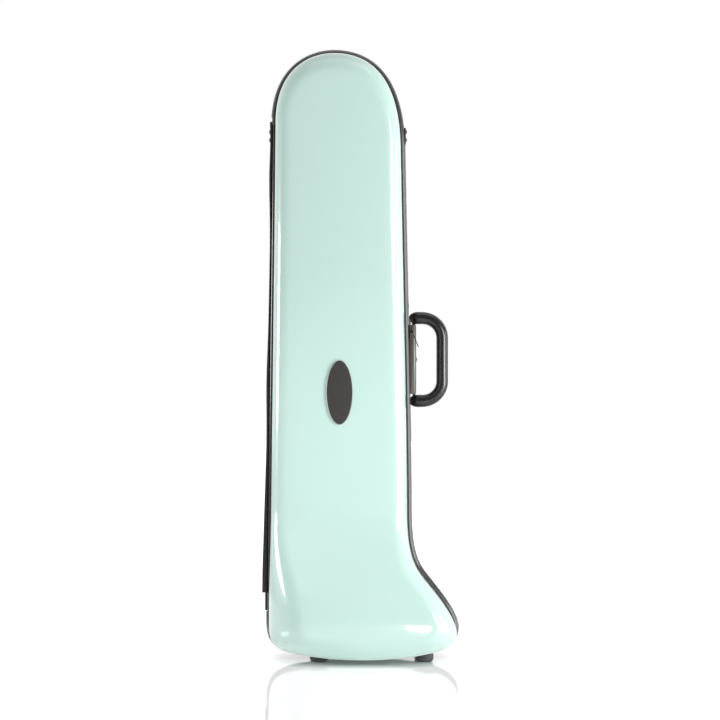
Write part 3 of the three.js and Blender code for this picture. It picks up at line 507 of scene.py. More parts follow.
FOOT = finish(
    "foot_rubber", GRAIN, ("3b3a3c", "48474a"), 0.3, 0.0003, {"Fine": 1200.0, "Broad": 100.0}, Roughness=0.7,
)
PLUSH = finish(
    "grey_plush", GRAIN, ("34353a", "4d4e54"), 0.8, 0.0008, {"Fine": 900.0, "Broad": 60.0},
    Roughness=0.95, Sheen_Weight=0.7,
)
WEBBING = finish(
    "black_webbing", WEAVE, ("131315", "28282c"), 0.8, 0.0005, {"Threads": 700.0}, Roughness=0.8,
)

# %% [markdown]
# ## The two shells and their linings
# A half is deepest over the bell and shallow along the body. From the seam its wall runs back, leaning in a
# little, then turns over a wide rounding to a nearly flat face. Drawn ring by ring from the seam to the
# middle, it stays smooth enough for a gloss finish; a live Solidify gives it its wall.
#
# The lining is foam covered in plush. It is the same skin moved inwards, with a thicker and softer wall, and
# a Smooth modifier irons the creases where so thick a wall would fold. A loose cushion would be simulated as
# cloth, but this foam is glued in and keeps the shell's form.

# %% A half, ring by ring
WALL_RINGS, ROUND_RINGS = 4, 18
FACE_SHARES = (0.08, 0.18, 0.3, 0.44, 0.6, 0.76, 0.9)  # rings of the face, from its edge to the spine
SOFT = {"width": 1.7, "rise": 3.0, "turn": 2.0}  # the rounding along the body
CREASED = {"width": 1.0, "rise": 1.6, "turn": 1.7}  # the tighter one round the bell
CREASE_FULL, CREASE_START = 70.0, 230.0
WIDEST = 0.9  # most of the way to the spine that a rounding takes


def depth_at(depth, z):
    """How deep a half is at a height."""
    rise = np.maximum(0, (z - BELL_START) / (SHELL_TOP - BELL_START))
    swell = 1 - smoothstep(z, BELL_FULL, BELL_START)
    return lerp(depth["hip"], depth["top"], rise) + swell * (depth["bell"] - depth["hip"])


def skin_rings(side, depth, inward, edge):
    """Rings of a half's skin, from its edge at the seam to its middle.

    Each point goes from its place on the rim towards the spine, a line up the middle of the face.
    """
    z = RIM_XZ[:, 1]
    spine_z = np.clip(z, SPINE_LOW, SPINE_HIGH)
    spine_x = lerp(SPINE_BELL, SPINE_BODY, smoothstep(spine_z, SPINE_LOW, BELL_START))
    spine = np.column_stack([spine_x, spine_z])
    towards = spine - RIM_XZ
    towards /= np.linalg.norm(towards, axis=1)[:, None]
    face_edge = RIM_XZ + towards * RIM_INSET[:, None]
    face_depth = depth_at(depth, face_edge[:, 1]) - CROWN
    body = smoothstep(z, DRAFT_START, BELL_START)
    wall_depth = face_depth - RIM_INSET * lerp(ROUND_SHARE["bell"], ROUND_SHARE["body"], body)
    start = RIM_XZ - RIM_OUT * inward
    leaned = start + towards * (DRAFT * body * (np.abs(wall_depth) - SHELL_EDGE))[:, None]
    soft = smoothstep(z, CREASE_FULL, CREASE_START)
    width, rise, turn = (lerp(CREASED[k], SOFT[k], soft) for k in ("width", "rise", "turn"))
    reach = np.linalg.norm(spine - leaned, axis=1)
    wide = np.minimum(RIM_INSET * width, reach * WIDEST) / reach
    rings = []

    def ring(xz, y):
        rings.append(np.column_stack([xz[:, 0], side * y, xz[:, 1]]))

    for i in range(WALL_RINGS):
        share = i / WALL_RINGS
        ring(lerp(start, leaned, share), lerp(np.full(COUNT, edge), wall_depth, share))
    for i in range(ROUND_RINGS + 1 + len(FACE_SHARES)):
        angle = min(i / ROUND_RINGS, 1) * math.pi / 2
        share = wide * (1 - math.cos(angle) ** (2 / rise))
        if i > ROUND_RINGS:
            share = lerp(wide, 1, FACE_SHARES[i - ROUND_RINGS - 1])
        climb = math.sin(angle) ** (2 / turn)
        xz = lerp(leaned, spine, share[:, None])
        face = depth_at(depth, xz[:, 1]) - inward - CROWN * (1 - share) ** 2
        ring(xz, lerp(wall_depth, face, climb))
    return rings


def half_shell(name, side, depth, inward, edge):
    """One half's outer skin, open at the seam and closed across its face."""
    bm = bmesh.new()
    rings = skin_rings(side, depth, inward, edge)
    ring = first_ring(bm, rings[0])
    for points in rings[1:]:
        ring = grow_ring(bm, ring, points)
    climb = ring_edges(bm, ring[1:TOP], closed=False)
    fall = ring_edges(bm, ring[TOP + 1:], closed=False)
    bmesh.ops.bridge_loops(bm, edges=climb + fall)
    for i in (0, TOP):
        bmesh.ops.contextual_create(bm, geom=[ring[i], ring[i - 1], ring[i + 1]])
    return finish_mesh(bm, name)


# %% Both halves
FIT, LINING_FIT, LINING_THICK, LINING_EDGE = 0.3, 0.8, 10.0, 9.4
IRON_SHARE, IRON_PASSES = 0.5, 14
for name, side, depth, body, slot, material in (
    ("front", -1, FRONT_DEPTH, "front_half", "mint_shell", MINT),
    ("back", 1, BACK_DEPTH, "back_half", "dark_cover", COVER),
):
    shell = half_shell(f"{name}_moulded_shell", side, depth, 0.0, SHELL_EDGE)
    dress(solidify(shell, WALL), body, slot, material, f"{name}_shell")
    lining = half_shell(f"{name}_plush_lining", side, depth, WALL + LINING_FIT, LINING_EDGE)
    ironed = solidify(lining, LINING_THICK, even=False).modifiers.new("ironed", "SMOOTH")
    ironed.factor, ironed.iterations = IRON_SHARE, IRON_PASSES
    dress(lining, body, "plush", PLUSH, f"{name}_lining")

# %% [markdown]
# ## The rubber edge and the zip
# A rubber profile is pushed over each shell's edge. Its outer corner is cut at 45 degrees, so it catches a
# thin line of light all round. Between the two, a zip's tapes and teeth run round from one end of the hinge
# strip to the other. A curve object with a bevel could carry such a profile too. Growing it from the rim's own
# points keeps it in step with the shells: it is a ring of the rim for each corner of the profile, and the
# last ring is bridged to the first.

# %% Profiles swept round the rim
SEAL_OUT, SEAL_LAP, SEAL_FACE = 4.8, 10.5, 2.2
SEAL_IN, GROOVE_WALL, GROOVE_FLOOR = -5.5, -3.5, 2.0
BEVEL, SOFT_EDGE, LIP = 2.4, 1.1, 1.2
HEM_OUT, HEM = 0.05, 0.4


def arc(centre, radius, first, last, steps):
    """Corners of an arc in a profile, in degrees."""
    turns = [math.radians(lerp(first, last, i / steps)) for i in range(steps + 1)]
    return [(centre[0] + radius * math.cos(t), centre[1] + radius * math.sin(t)) for t in turns]


def rim_ring(name, profile, side):
    """A profile of (outward, depth) corners swept all round the rim."""
    bm = bmesh.new()
    out, y = profile[0]
    ring = opening = first_ring(bm, off_rim(out, side * y))
    for out, y in profile[1:]:
        ring = grow_ring(bm, ring, off_rim(out, side * y))
    bmesh.ops.bridge_loops(bm, edges=ring_edges(bm, opening) + ring_edges(bm, ring))
    return finish_mesh(bm, name)


SEAL_PROFILE = (
    [(FIT, SHELL_EDGE - FIT), (HEM_OUT, SEAL_LAP - HEM)]
    + arc((HEM_OUT + HEM, SEAL_LAP - HEM), HEM, 180, 90, 2)
    + arc((SEAL_OUT - BEVEL - SOFT_EDGE, SEAL_LAP - SOFT_EDGE), SOFT_EDGE, 90, 45, 3)
    + arc((SEAL_OUT - SOFT_EDGE, SEAL_LAP - BEVEL - SOFT_EDGE), SOFT_EDGE, 45, 0, 3)
    + arc((SEAL_OUT - LIP, SEAL_FACE + LIP), LIP, 0, -90, 4)
    + [(SEAL_IN, SEAL_FACE), (SEAL_IN, SEAL_LAP - GROOVE_FLOOR), (GROOVE_WALL, SEAL_LAP - GROOVE_FLOOR),
       (GROOVE_WALL, SHELL_EDGE - FIT)]
)
TAPE_PROFILE = [(-4, 0.35), (3.1, 0.35), (3.1, 1.9), (-4, 1.9)]
for name, side, body in (("front", -1, "front_half"), ("back", 1, "back_half")):
    seal = rim_ring(f"{name}_rubber_edge", SEAL_PROFILE, side)
    dress(rounded(seal, 50), body, "rim_rubber", RUBBER, f"{name}_rim_seal")
    tape = rim_ring(f"{name}_tape", TAPE_PROFILE, side)
    dress(rounded(tape), body, "zip_fabric", ZIP_CLOTH, f"{name}_zip_tape")

# %% The zip's teeth
STRIP_TOP, STRIP_BOTTOM = height(0.88153), height(0.1032)
ZIP_UPPER, ZIP_LOWER, ZIP_FROM_TAB = 7.0, 28.0, 2.0
TOOTH_PITCH = 3.0
TOOTH = {"inner": 3.2, "outer": 6.4, "thick": 1.3, "root": 1.9, "tip": -0.55, "taper": 0.75}
RUN_SAMPLES = 4000


def rim_run(start, end, pitch):
    """Places at even steps along the rim from one index to another."""
    fine = np.linspace(start, end, RUN_SAMPLES)
    xz = np.array([rim_at(i)[0] for i in fine])
    run = np.concatenate([[0], np.cumsum(np.linalg.norm(np.diff(xz, axis=0), axis=1))])
    steps = int(run[-1] // pitch)
    return [rim_at(i) for i in np.interp(np.arange(steps) * pitch, run, fine)]


def tooth_row(name, side, places):
    """One rounded block for each tooth, reaching a little over the seam."""
    bm = bmesh.new()
    for xz, out in places:
        made = bmesh.ops.create_cube(bm, size=1)["verts"]
        tall = TOOTH["outer"] - TOOTH["inner"]
        wide = TOOTH["root"] - TOOTH["tip"]
        for v in made:
            narrow = TOOTH["taper"] if v.co.x > 0 else 1.0
            r = TOOTH["inner"] + (v.co.x + 0.5) * tall
            y = side * (TOOTH["tip"] + (v.co.y * narrow + 0.5) * wide)
            t = v.co.z * TOOTH["thick"] * narrow
            p = (xz[0] + out[0] * r - out[1] * t, y, xz[1] + out[1] * r + out[0] * t)
            v.co = to_frame([p])[0]
    return finish_mesh(bm, name, smooth=False)


zip_start = rim_index("hinge", STRIP_BOTTOM - ZIP_LOWER - ZIP_FROM_TAB)
zip_end = rim_index("hinge", STRIP_TOP + ZIP_UPPER + ZIP_FROM_TAB) + COUNT
teeth = rim_run(zip_start, zip_end, TOOTH_PITCH / 2)
for name, side, body, first in (("front", -1, "front_half", 0), ("back", 1, "back_half", 1)):
    row = tooth_row(f"{name}_zip_teeth", side, teeth[first::2])
    dress(row, body, "zip_coil", ZIP_TEETH, f"{name}_zip_coil")

# %% [markdown]
# ## The hinge strip
# The hinge is a band of cloth sewn along the left edge. It stands a little proud of the rubber, wavy where
# the cloth bulges, and thicker towards the bell. Its section is grown along the rim. Half of it is sewn to
# each shell, so it is given to neither body here. The stitches lie in two grooves. The lower third of the
# strip bulges most and gets none, because the two rows would meet there when the case opens. Thicker tabs
# cover the ends of the zip.

# %% Bands along a part of the rim
def rim_band(name, indices, profile_at):
    """A closed section grown along part of the rim and closed at both ends."""
    bm = bmesh.new()
    ring = None
    for i in indices:
        xz, out = rim_at(i)
        points = [(xz[0] + out[0] * r, y, xz[1] + out[1] * r) for r, y in profile_at(xz, out)]
        if ring is None:
            ring = first_ring(bm, points)
            close_ring(bm, ring)
        else:
            ring = grow_ring(bm, ring, points)
    close_ring(bm, ring)
    return finish_mesh(bm, name)


def side_places(side, low, high, count):
    """Shares of an index at even steps between two heights of a side."""
    return np.linspace(rim_index(side, low), rim_index(side, high), count)


STRIP_HALF = 9.5
STRIP_INNER = SEAL_OUT + FIT
GROOVE_IN = 2.8  # the stitches' groove, from the strip's edge
STRIP_SWELL = (
    (102, 12.5), (136, 12.2), (167, 11.2), (198, 10.3), (229, 9.8), (260, 9.1), (291, 8.5), (322, 7.9),
    (353, 7.7), (384, 8.2), (415, 8.9), (446, 8.8), (477, 8.0), (508, 7.2), (570, 6.6), (632, 6.3),
    (663, 6.5), (694, 7.1), (725, 8.1), (756, 8.4), (787, 7.3), (812, 7.1), (830, 8.4),
)
SWELL_REACH = 14.0


def strip_outer(z):
    """How far the strip stands out at a height, averaged over a few centimetres."""
    near = np.linspace(z - SWELL_REACH, z + SWELL_REACH, 9)
    return float(np.interp(near, *zip(*STRIP_SWELL)).mean())


def strip_section(xz, out):
    """A flat band with soft edges, sewn down in two shallow grooves, and a fold line in its middle."""
    outer = strip_outer(xz[1])
    half = [
        (STRIP_INNER, STRIP_HALF - 0.4), (STRIP_INNER + 0.5, STRIP_HALF), (outer - 0.6, STRIP_HALF - 0.3),
        (outer, STRIP_HALF - 1.2), (outer - 0.1, STRIP_HALF - 2.3), (outer - 0.35, STRIP_HALF - GROOVE_IN),
        (outer - 0.05, STRIP_HALF - 3.4), (outer, 3.0), (outer - 0.2, 1.0), (outer - 0.5, 0.3),
    ]
    return half + [(r, -y) for r, y in reversed(half)]


strip = rim_band("cloth_hinge_strip", side_places("hinge", STRIP_TOP, STRIP_BOTTOM, 110), strip_section)
dress(strip, None, "zip_fabric", ZIP_CLOTH, "hinge_strip")
HINGE_X, HINGE_Z = -107.3, 465.0
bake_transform(strip)

# %% Its stitches
STITCH = {"long": 2.6, "thick": 0.7, "pitch": 4.0, "end": 4.0, "deep": 0.25}
STITCH_REACH = 3.3  # a stitch further out from the hinge line is left out


def stitches(name, spots):
    """A row of thread: one small bead, drawn long, for each (place, along, out)."""
    bm = bmesh.new()
    for place, along, out in spots:
        across = np.cross(along, out)
        for v in bmesh.ops.create_icosphere(bm, subdivisions=1, radius=0.5)["verts"]:
            thin = across * v.co.y + out * v.co.z
            v.co = to_frame([place + along * (v.co.x * STITCH["long"]) + thin * STITCH["thick"]])[0]
    return finish_mesh(bm, name)


def strip_spots(y):
    """Places of the stitches along the strip, in its groove."""
    spots = []
    ends = side_places("hinge", STRIP_TOP - STITCH["end"], STRIP_BOTTOM + STITCH["end"], 2)
    for xz, out in rim_run(*ends, STITCH["pitch"]):
        r = strip_outer(xz[1]) - STITCH["deep"]
        place = np.array([xz[0] + out[0] * r, y, xz[1] + out[1] * r])
        if HINGE_X - place[0] <= STITCH_REACH:
            spots.append((place, np.array([-out[1], 0, out[0]]), np.array([out[0], 0, out[1]])))
    return spots


for body, y in (("front_half", GROOVE_IN - STRIP_HALF), ("back_half", STRIP_HALF - GROOVE_IN)):
    row = stitches(f"{body}_strip_stitches", strip_spots(y))
    dress(row, body, "zip_fabric", THREAD)

# %% The zip's end tabs
TAB_OUTER, TAB_GAP, TAB_SHORT, TAB_EDGE = 8.2, 0.3, 2.0, 0.6


def tab_section(xz, out):
    """A block of folded tape over the seam, all of it on the back half."""
    outer = TAB_OUTER
    return [
        (STRIP_INNER, 0.8), (outer - 0.8, 0.5), (outer - 0.2, 0.9), (outer, 1.6), (outer, 5.8),
        (outer - 0.2, 6.5), (outer - 0.8, 6.9), (STRIP_INNER, 6.6),
    ]


for name, low, high in (
    ("upper_zip_end", STRIP_TOP + TAB_GAP, STRIP_TOP + ZIP_UPPER - TAB_SHORT),
    ("lower_zip_end", STRIP_BOTTOM - ZIP_LOWER, STRIP_BOTTOM - TAB_GAP),
):
    tab = rim_band(f"{name}_tab", side_places("hinge", high, low, 12), tab_section)
    dress(bevelled(tab, TAB_EDGE), "back_half", "zip_fabric", ZIP_CLOTH, name)

# %% [markdown]
# ## The badge
# A cast oval plate with a raised, polished border is glued to the front. Its middle is pebbled and bare. An
# ellipse is extruded ring by ring, each a little smaller and higher, so the border catches the light. The
# border is also coloured pale grey, a painted highlight for the glint along its bevel.

# %% Bodies grown in a local frame
def placed(points, origin, right, out, up):
    """Local points (right, out, up) set on the case."""
    p = np.asarray(points, float)
    return np.asarray(origin) + p[:, :1] * right + p[:, 1:2] * out + p[:, 2:] * up


def grown_body(name, rings):
    """A body grown through rings of points and closed at both ends."""
    bm = bmesh.new()
    ring = first_ring(bm, rings[0])
    close_ring(bm, ring)
    for points in rings[1:]:
        ring = grow_ring(bm, ring, points)
    close_ring(bm, ring)
    return finish_mesh(bm, name)


# %% The badge's place and its rings
X, Y, Z = np.eye(3)
BADGE_X, BADGE_Z = 2.9, height(0.43679)
BADGE_WIDE, BADGE_HIGH, BADGE_POINTS = 20.5, 49.5, 96
face_low, face_high = (depth_at(FRONT_DEPTH, BADGE_Z + s * BADGE_HIGH) for s in (-1, 1))
badge_lean = math.atan2(face_low - face_high, 2 * BADGE_HIGH)
badge_axes = (
    X, np.array([0, -math.cos(badge_lean), math.sin(badge_lean)]),
    np.array([0, math.sin(badge_lean), math.cos(badge_lean)]),
)
badge_origin = np.array([BADGE_X, -float(depth_at(FRONT_DEPTH, BADGE_Z)), BADGE_Z])


def ovals(steps):
    """Rings of the badge, for steps of how far in from its edge and how high."""
    turn = np.linspace(0, 2 * math.pi, BADGE_POINTS, endpoint=False)
    rings = []
    for inset, high in steps:
        oval = np.column_stack([
            np.cos(turn) * (BADGE_WIDE - inset), np.full(BADGE_POINTS, high),
            np.sin(turn) * (BADGE_HIGH - inset),
        ])
        rings.append(placed(oval, badge_origin, *badge_axes))
    return rings


# This narrow border ring carries the painted highlight of the bevel's glint in its pale colour.
border = grown_body("badge_border_painted_glint", ovals([
    (0.2, 0.15), (0, 0.4), (0, 2.3), (0.1, 2.75), (0.3, 3.0), (0.55, 3.1), (0.8, 3.0), (0.95, 2.7),
    (1.05, 1.2),
]))
dress(border, "front_half", "badge_plastic", BADGE_GLINT_RIM, "badge")
plate = grown_body("badge_plate", ovals([
    (0.95, 1.0), (0.95, 2.4), (1.4, 2.62), (3.0, 2.7), (8.0, 2.8), (13.0, 2.88), (18.0, 2.92), (20.0, 2.92),
]))
dress(plate, "front_half", "badge_plastic", BADGE, "badge")

# %% [markdown]
# ## The handle
# A moulded plate follows the side of the back shell, a bar stands on it, and a thick loop turns on two pins
# between its arms. A curve with a round bevel could make the loop, but its section is fuller in the hand than
# in the arms. So it is grown through rings along its line, and dome-shaped rings close its ends.

# %% Sweeps in a plane
def plane_frame(centres, closed):
    """The direction of a path at each of its points."""
    before, after = np.roll(centres, 1, axis=0), np.roll(centres, -1, axis=0)
    if not closed:
        before[0], after[-1] = centres[0], centres[-1]
    way = after - before
    return way / np.linalg.norm(way, axis=1)[:, None]


def sweep_rings(centres, normal, across, thick, sides, closed=False):
    """Rings round a path in a plane: across lies in the plane, thick along its normal."""
    turn = np.linspace(0, 2 * math.pi, sides, endpoint=False)[:, None]
    rings = []
    for centre, way, a, b in zip(centres, plane_frame(centres, closed), across, thick):
        side = np.cross(way, normal)
        rings.append(centre + np.cos(turn) * side * a + np.sin(turn) * normal * b)
    return rings


# %% Measures of the handle
HANDLE_Z = height(0.49086)
PLATE = {"half": 89.5, "out": 3.8, "near": 14.0, "far": 43.0, "edge": 1.0}
BAR = {"half": 53.7, "rise": 12.6, "wide": 9.0, "corner": 4.4}
LOOP = {"half": 64.6, "reach": 44.0, "corner": 31.0, "radius": 9.8, "grip": 10.5, "slim": 0.6,
        "end": 8.0, "dome": 14.0, "sides": 32}
HANDLE_X = side_x("handle", HANDLE_Z)
HANDLE_Y = (PLATE["near"] + PLATE["far"]) / 2
PIVOT_X = HANDLE_X + 13.3

# %% The loop
def loop_line():
    """The loop's middle: out along one arm, round two corners and back along the other."""
    out_x = PIVOT_X + LOOP["reach"]
    turn_x, corner = out_x - LOOP["corner"], LOOP["corner"]
    low, high = HANDLE_Z - LOOP["half"], HANDLE_Z + LOOP["half"]
    start_x = PIVOT_X - LOOP["end"] + LOOP["dome"]
    line = [(x, low) for x in np.linspace(start_x, turn_x, 4, endpoint=False)]
    line += [(turn_x + corner * math.sin(t), low + corner * (1 - math.cos(t)))
             for t in np.linspace(0, math.pi / 2, 15)]
    line += [(out_x, z) for z in np.linspace(low + corner, high - corner, 11)[1:-1]]
    line += [(turn_x + corner * math.cos(t), high - corner * (1 - math.sin(t)))
             for t in np.linspace(0, math.pi / 2, 15)]
    line += [(x, high) for x in np.linspace(turn_x, start_x, 5)[1:]]
    return np.array([(x, HANDLE_Y, z) for x, z in line])


line = loop_line()
middle = np.sin(np.linspace(0, math.pi, len(line)))
across = LOOP["radius"] - LOOP["slim"] * middle
thick = lerp(LOOP["radius"], LOOP["grip"], middle)
rings = sweep_rings(line, Y, across, thick, LOOP["sides"])
dome_steps = np.sin(np.linspace(0, math.pi / 2, 9))[1:-1]


def dome(centre, ring, outward):
    """Shrinking copies of an end ring, further and further out."""
    return [centre + (ring - centre) * math.sqrt(1 - step ** 2) + outward * step * LOOP["dome"]
            for step in dome_steps]


lower_end, upper_end = dome(line[0], rings[0], -X), dome(line[-1], rings[-1], -X)
loop = grown_body("handle_loop_grip", lower_end[::-1] + rings + upper_end)
dress(loop, "handle", "grip_plastic", GRIP, "handle_loop")

# %% The bar and the plate
def rounded_box_ring(half_a, half_b, corner, steps=4):
    """A rectangle with round corners, as (a, b) points."""
    corner = min(corner, half_a - 0.01, half_b - 0.01)
    points = []
    for sa, sb, first in ((1, 1, 0), (-1, 1, 90), (-1, -1, 180), (1, -1, 270)):
        points += arc((sa * (half_a - corner), sb * (half_b - corner)), corner, first, first + 90, steps)
    return points


def upright_body(name, centre, half_x, half_y, corner, low, high):
    """A rounded upright bar between two heights, with softened ends."""
    edge = 1.2
    rings = []
    for z, inset in ((low, edge), (low + edge * 0.3, edge * 0.3), (low + edge, 0), (high - edge, 0),
                     (high - edge * 0.3, edge * 0.3), (high, edge)):
        section = rounded_box_ring(half_x - inset, half_y - inset, corner - inset * 0.5)
        rings.append([(centre[0] + a, centre[1] + b, z) for a, b in section])
    return grown_body(name, rings)


bar_middle = HANDLE_X + PLATE["out"] + FIT + BAR["rise"] / 2
bar = upright_body(
    "handle_bar_body", (bar_middle, HANDLE_Y), BAR["rise"] / 2, BAR["wide"], BAR["corner"],
    HANDLE_Z - BAR["half"], HANDLE_Z + BAR["half"],
)
dress(rounded(bar), NODES["handle_bar"]["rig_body"], "base_plastic", BASE, "handle_bar")


def shell_side(y):
    """How far outside the rim the plate's underside lies, on the leaning side of the back shell."""
    return FIT - DRAFT * (y - SHELL_EDGE)


def plate_section(xz, out):
    """The plate's underside follows the shell, and its outer face is upright."""
    outer = (HANDLE_X + PLATE["out"] - xz[0]) / out[0]
    near, far = PLATE["near"], PLATE["far"]
    return [
        (shell_side(near), near), (outer - 1.6, near), (outer - 0.5, near + 0.5), (outer, near + 1.6),
        (outer, far - 1.6), (outer - 0.5, far - 0.5), (outer - 1.6, far), (shell_side(far), far),
    ]


plate_low, plate_high = HANDLE_Z - PLATE["half"], HANDLE_Z + PLATE["half"]
plate = rim_band("handle_base_plate", side_places("handle", plate_low, plate_high, 24), plate_section)
dress(bevelled(plate, PLATE["edge"]), NODES["handle_bar"]["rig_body"], "base_plastic", BASE, "handle_plate")

# %% [markdown]
# ## Turned pieces
# Rivets, pins and screws are turned on a lathe in the workshop, and here too: half of each profile is spun
# round its axis, which costs one operator and keeps them perfectly round.

# %% Rivets, pins and screws
LATHE_STEPS = 24


def spun_body(name, profile, origin, out):
    """A (radius, height) profile spun round an axis through the origin."""
    bm = bmesh.new()
    verts = [bm.verts.new((r * MM, 0, h * MM)) for r, h in profile]
    edges = [bm.edges.new(pair) for pair in zip(verts, verts[1:])]
    bmesh.ops.spin(
        bm, geom=verts + edges, cent=(0, 0, 0), axis=(0, 0, 1), angle=2 * math.pi, steps=LATHE_STEPS,
        use_merge=True,
    )
    turn = Vector((0, 0, 1)).rotation_difference(Vector(out)).to_matrix().to_4x4()
    turn.translation = Vector(to_frame([origin])[0])
    bmesh.ops.transform(bm, matrix=turn, verts=bm.verts)
    return rounded(finish_mesh(bm, name), 50)


def rivet_profile(radius, high):
    """A low dome with a soft foot."""
    return [
        (0, 0), (radius, 0), (radius, 0.3 * high), (radius * 0.93, 0.6 * high), (radius * 0.75, 0.9 * high),
        (radius * 0.45, 1.12 * high), (0, 1.2 * high),
    ]


def pin_profile(radius, length):
    """A straight pin with broken edges."""
    soft = 0.4
    return [
        (0, 0), (radius - soft, 0), (radius, soft), (radius, length - soft), (radius - soft, length), (0, length),
    ]


HANDLE_RIVET = {"radius": 3.0, "high": 1.1, "from_end": 6.0}
PIN = {"radius": 2.2, "in_arm": 5.0, "in_bar": 11.0}
plate_face = HANDLE_X + PLATE["out"] + FIT
for name, x, z in (
    ("lower_plate_rivet", plate_face, plate_low + HANDLE_RIVET["from_end"]),
    ("upper_plate_rivet", plate_face, plate_high - HANDLE_RIVET["from_end"]),
    ("bar_rivet", plate_face + BAR["rise"] + FIT, HANDLE_Z),
):
    dome_line = rivet_profile(HANDLE_RIVET["radius"], HANDLE_RIVET["high"])
    rivet = spun_body(f"{name}_head", dome_line, (x, HANDLE_Y, z), X)
    dress(rivet, NODES["handle_bar"]["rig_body"], "dark_steel", STEEL, name)
arm_end, bar_end = LOOP["half"] - LOOP["radius"] + PIN["in_arm"], BAR["half"] - PIN["in_bar"]
for name, low in (("lower_handle_pin", HANDLE_Z - arm_end), ("upper_handle_pin", HANDLE_Z + bar_end)):
    rod = pin_profile(PIN["radius"], arm_end - bar_end)
    pin = spun_body(f"{name}_rod", rod, (PIVOT_X, HANDLE_Y, low), Z)
    dress(pin, NODES[name]["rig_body"], "dark_steel", STEEL, name)

# %% [markdown]
# ## Zip sliders and pulls
# Two sliders meet beside the handle. Each is a small cast body with two ears and a cross pin, and a pull tab
# hangs from the pin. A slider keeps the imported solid's form with its edges rounded: its loose triangles are
# merged into faces first. A pull is a waisted tab with a ring at its tip.

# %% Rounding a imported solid
CAD_MERGE, FLAT_BELOW, SHARP_FROM = 1e-6, 2, 30


def reworked(node_name, name, width, segments=3):
    """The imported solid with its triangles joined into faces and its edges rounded."""
    bm = bmesh.new()
    bm.from_mesh(NODES[node_name].data)
    bmesh.ops.remove_doubles(bm, verts=bm.verts, dist=CAD_MERGE)
    bmesh.ops.dissolve_limit(bm, angle_limit=math.radians(FLAT_BELOW), verts=bm.verts, edges=bm.edges)
    sharp = [e for e in bm.edges if e.is_manifold and e.calc_face_angle() > math.radians(SHARP_FROM)]
    bmesh.ops.bevel(
        bm, geom=sharp, offset=width * MM, offset_type="OFFSET", segments=segments, profile=0.5,
        affect="EDGES", clamp_overlap=True, material=-1,
    )
    return rounded(finish_mesh(bm, name), 35)


SLIDER_EDGE = 0.35
for name in ("upper_zip_slider", "lower_zip_slider"):
    slider = reworked(name, f"{name}_body", SLIDER_EDGE)
    dress(slider, NODES[name]["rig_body"], "dark_steel", STEEL, name)

# %% Tubes, tabs and closed loops of wire
PULL = {
    "knuckle": 1.6, "bore": 0.9, "half": 2.8, "neck": 4.2, "waist": 1.5, "thick": 0.65, "ring": 2.15,
    "wire": 0.7, "points": 28, "sides": 12,
}


def tube_profile(outer, inner, half):
    """The section of a short tube with soft edges, as (radius, height)."""
    soft = min(0.25, (outer - inner) / 3)
    return [
        (inner, -half + soft), (inner + soft, -half), (outer - soft, -half), (outer, -half + soft),
        (outer, half - soft), (outer - soft, half), (inner + soft, half), (inner, half - soft),
        (inner, -half + soft),
    ]


def pull_rings(length, axes):
    """The tab: waisted, and rounded along its edges."""
    neck, tip = PULL["neck"], length - PULL["ring"] * 2
    stations = [
        (PULL["bore"] + 0.3, PULL["half"] - 0.2), (2.4, PULL["half"] - 0.3), (neck, 1.9),
        (lerp(neck, tip, 0.4), PULL["waist"]), (lerp(neck, tip, 0.8), PULL["waist"] + 0.2), (tip, 2.0),
        (tip + 0.9, 1.9),
    ]
    rings = []
    for down, half in stations:
        section = rounded_box_ring(PULL["thick"], half, 0.5, 3)
        rings.append(placed([(a, b, -down) for a, b in section], *axes))
    return rings


def looped_body(name, rings):
    """A ring of rings, its last bridged to its first."""
    bm = bmesh.new()
    ring = opening = first_ring(bm, rings[0])
    for points in rings[1:]:
        ring = grow_ring(bm, ring, points)
    bmesh.ops.bridge_loops(bm, edges=ring_edges(bm, opening) + ring_edges(bm, ring))
    return finish_mesh(bm, name)


def joined(name, *pieces):
    """Several closed bodies kept as one piece."""
    bm = bmesh.new()
    for piece in pieces:
        bm.from_mesh(piece.data)
        bpy.data.objects.remove(piece)
    return rounded(finish_mesh(bm, name), 45)


# %% The two pulls
def zip_pull(name, pin, lean, length):
    """A pull hung from its slider's pin, leaning away from the case."""
    a = math.radians(lean)
    right, up = np.array([math.cos(a), 0, math.sin(a)]), np.array([-math.sin(a), 0, math.cos(a)])
    axes = (pin, right, Y, up)
    knuckle = spun_body("knuckle", tube_profile(PULL["knuckle"], PULL["bore"], PULL["half"]), pin, Y)
    tab = grown_body("tab", pull_rings(length, axes))
    turn = np.linspace(0, 2 * math.pi, PULL["points"], endpoint=False)
    r = PULL["ring"]
    circle = [(0, math.cos(t) * r, math.sin(t) * r - (length - r - PULL["wire"])) for t in turn]
    wire = [PULL["wire"]] * PULL["points"]
    rings = sweep_rings(placed(circle, *axes), right, wire, wire, PULL["sides"], closed=True)
    return joined(name, knuckle, tab, looped_body("tip", rings))


SLIDERS_MEET = height(0.54085)
SLIDER = {"gap": 1.2, "length": 15.4, "out": 9.1, "ear": 2.6}
for name, pin_z, lean, length in (
    ("upper", SLIDERS_MEET + SLIDER["gap"] / 2 + SLIDER["length"] - SLIDER["ear"], 0, 12.5),
    ("lower", SLIDERS_MEET - SLIDER["gap"] / 2 - SLIDER["ear"], 22, 26),
):
    pin = np.array([side_x("handle", pin_z) + SLIDER["out"] + FIT + PULL["knuckle"], 0, pin_z])
    tab = zip_pull(f"{name}_pull_tab", pin, lean, length)
    dress(tab, NODES[f"{name}_zip_pull"]["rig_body"], "dark_steel", STEEL, f"{name}_zip_pull")

# %% [markdown]
# ## The feet
# The case stands on four rubber feet shaped like shallow bowls, each held by a screw in its hollow. A ring of
# points starts on the shell's curved underside, narrows to the floor and turns up into the hollow.

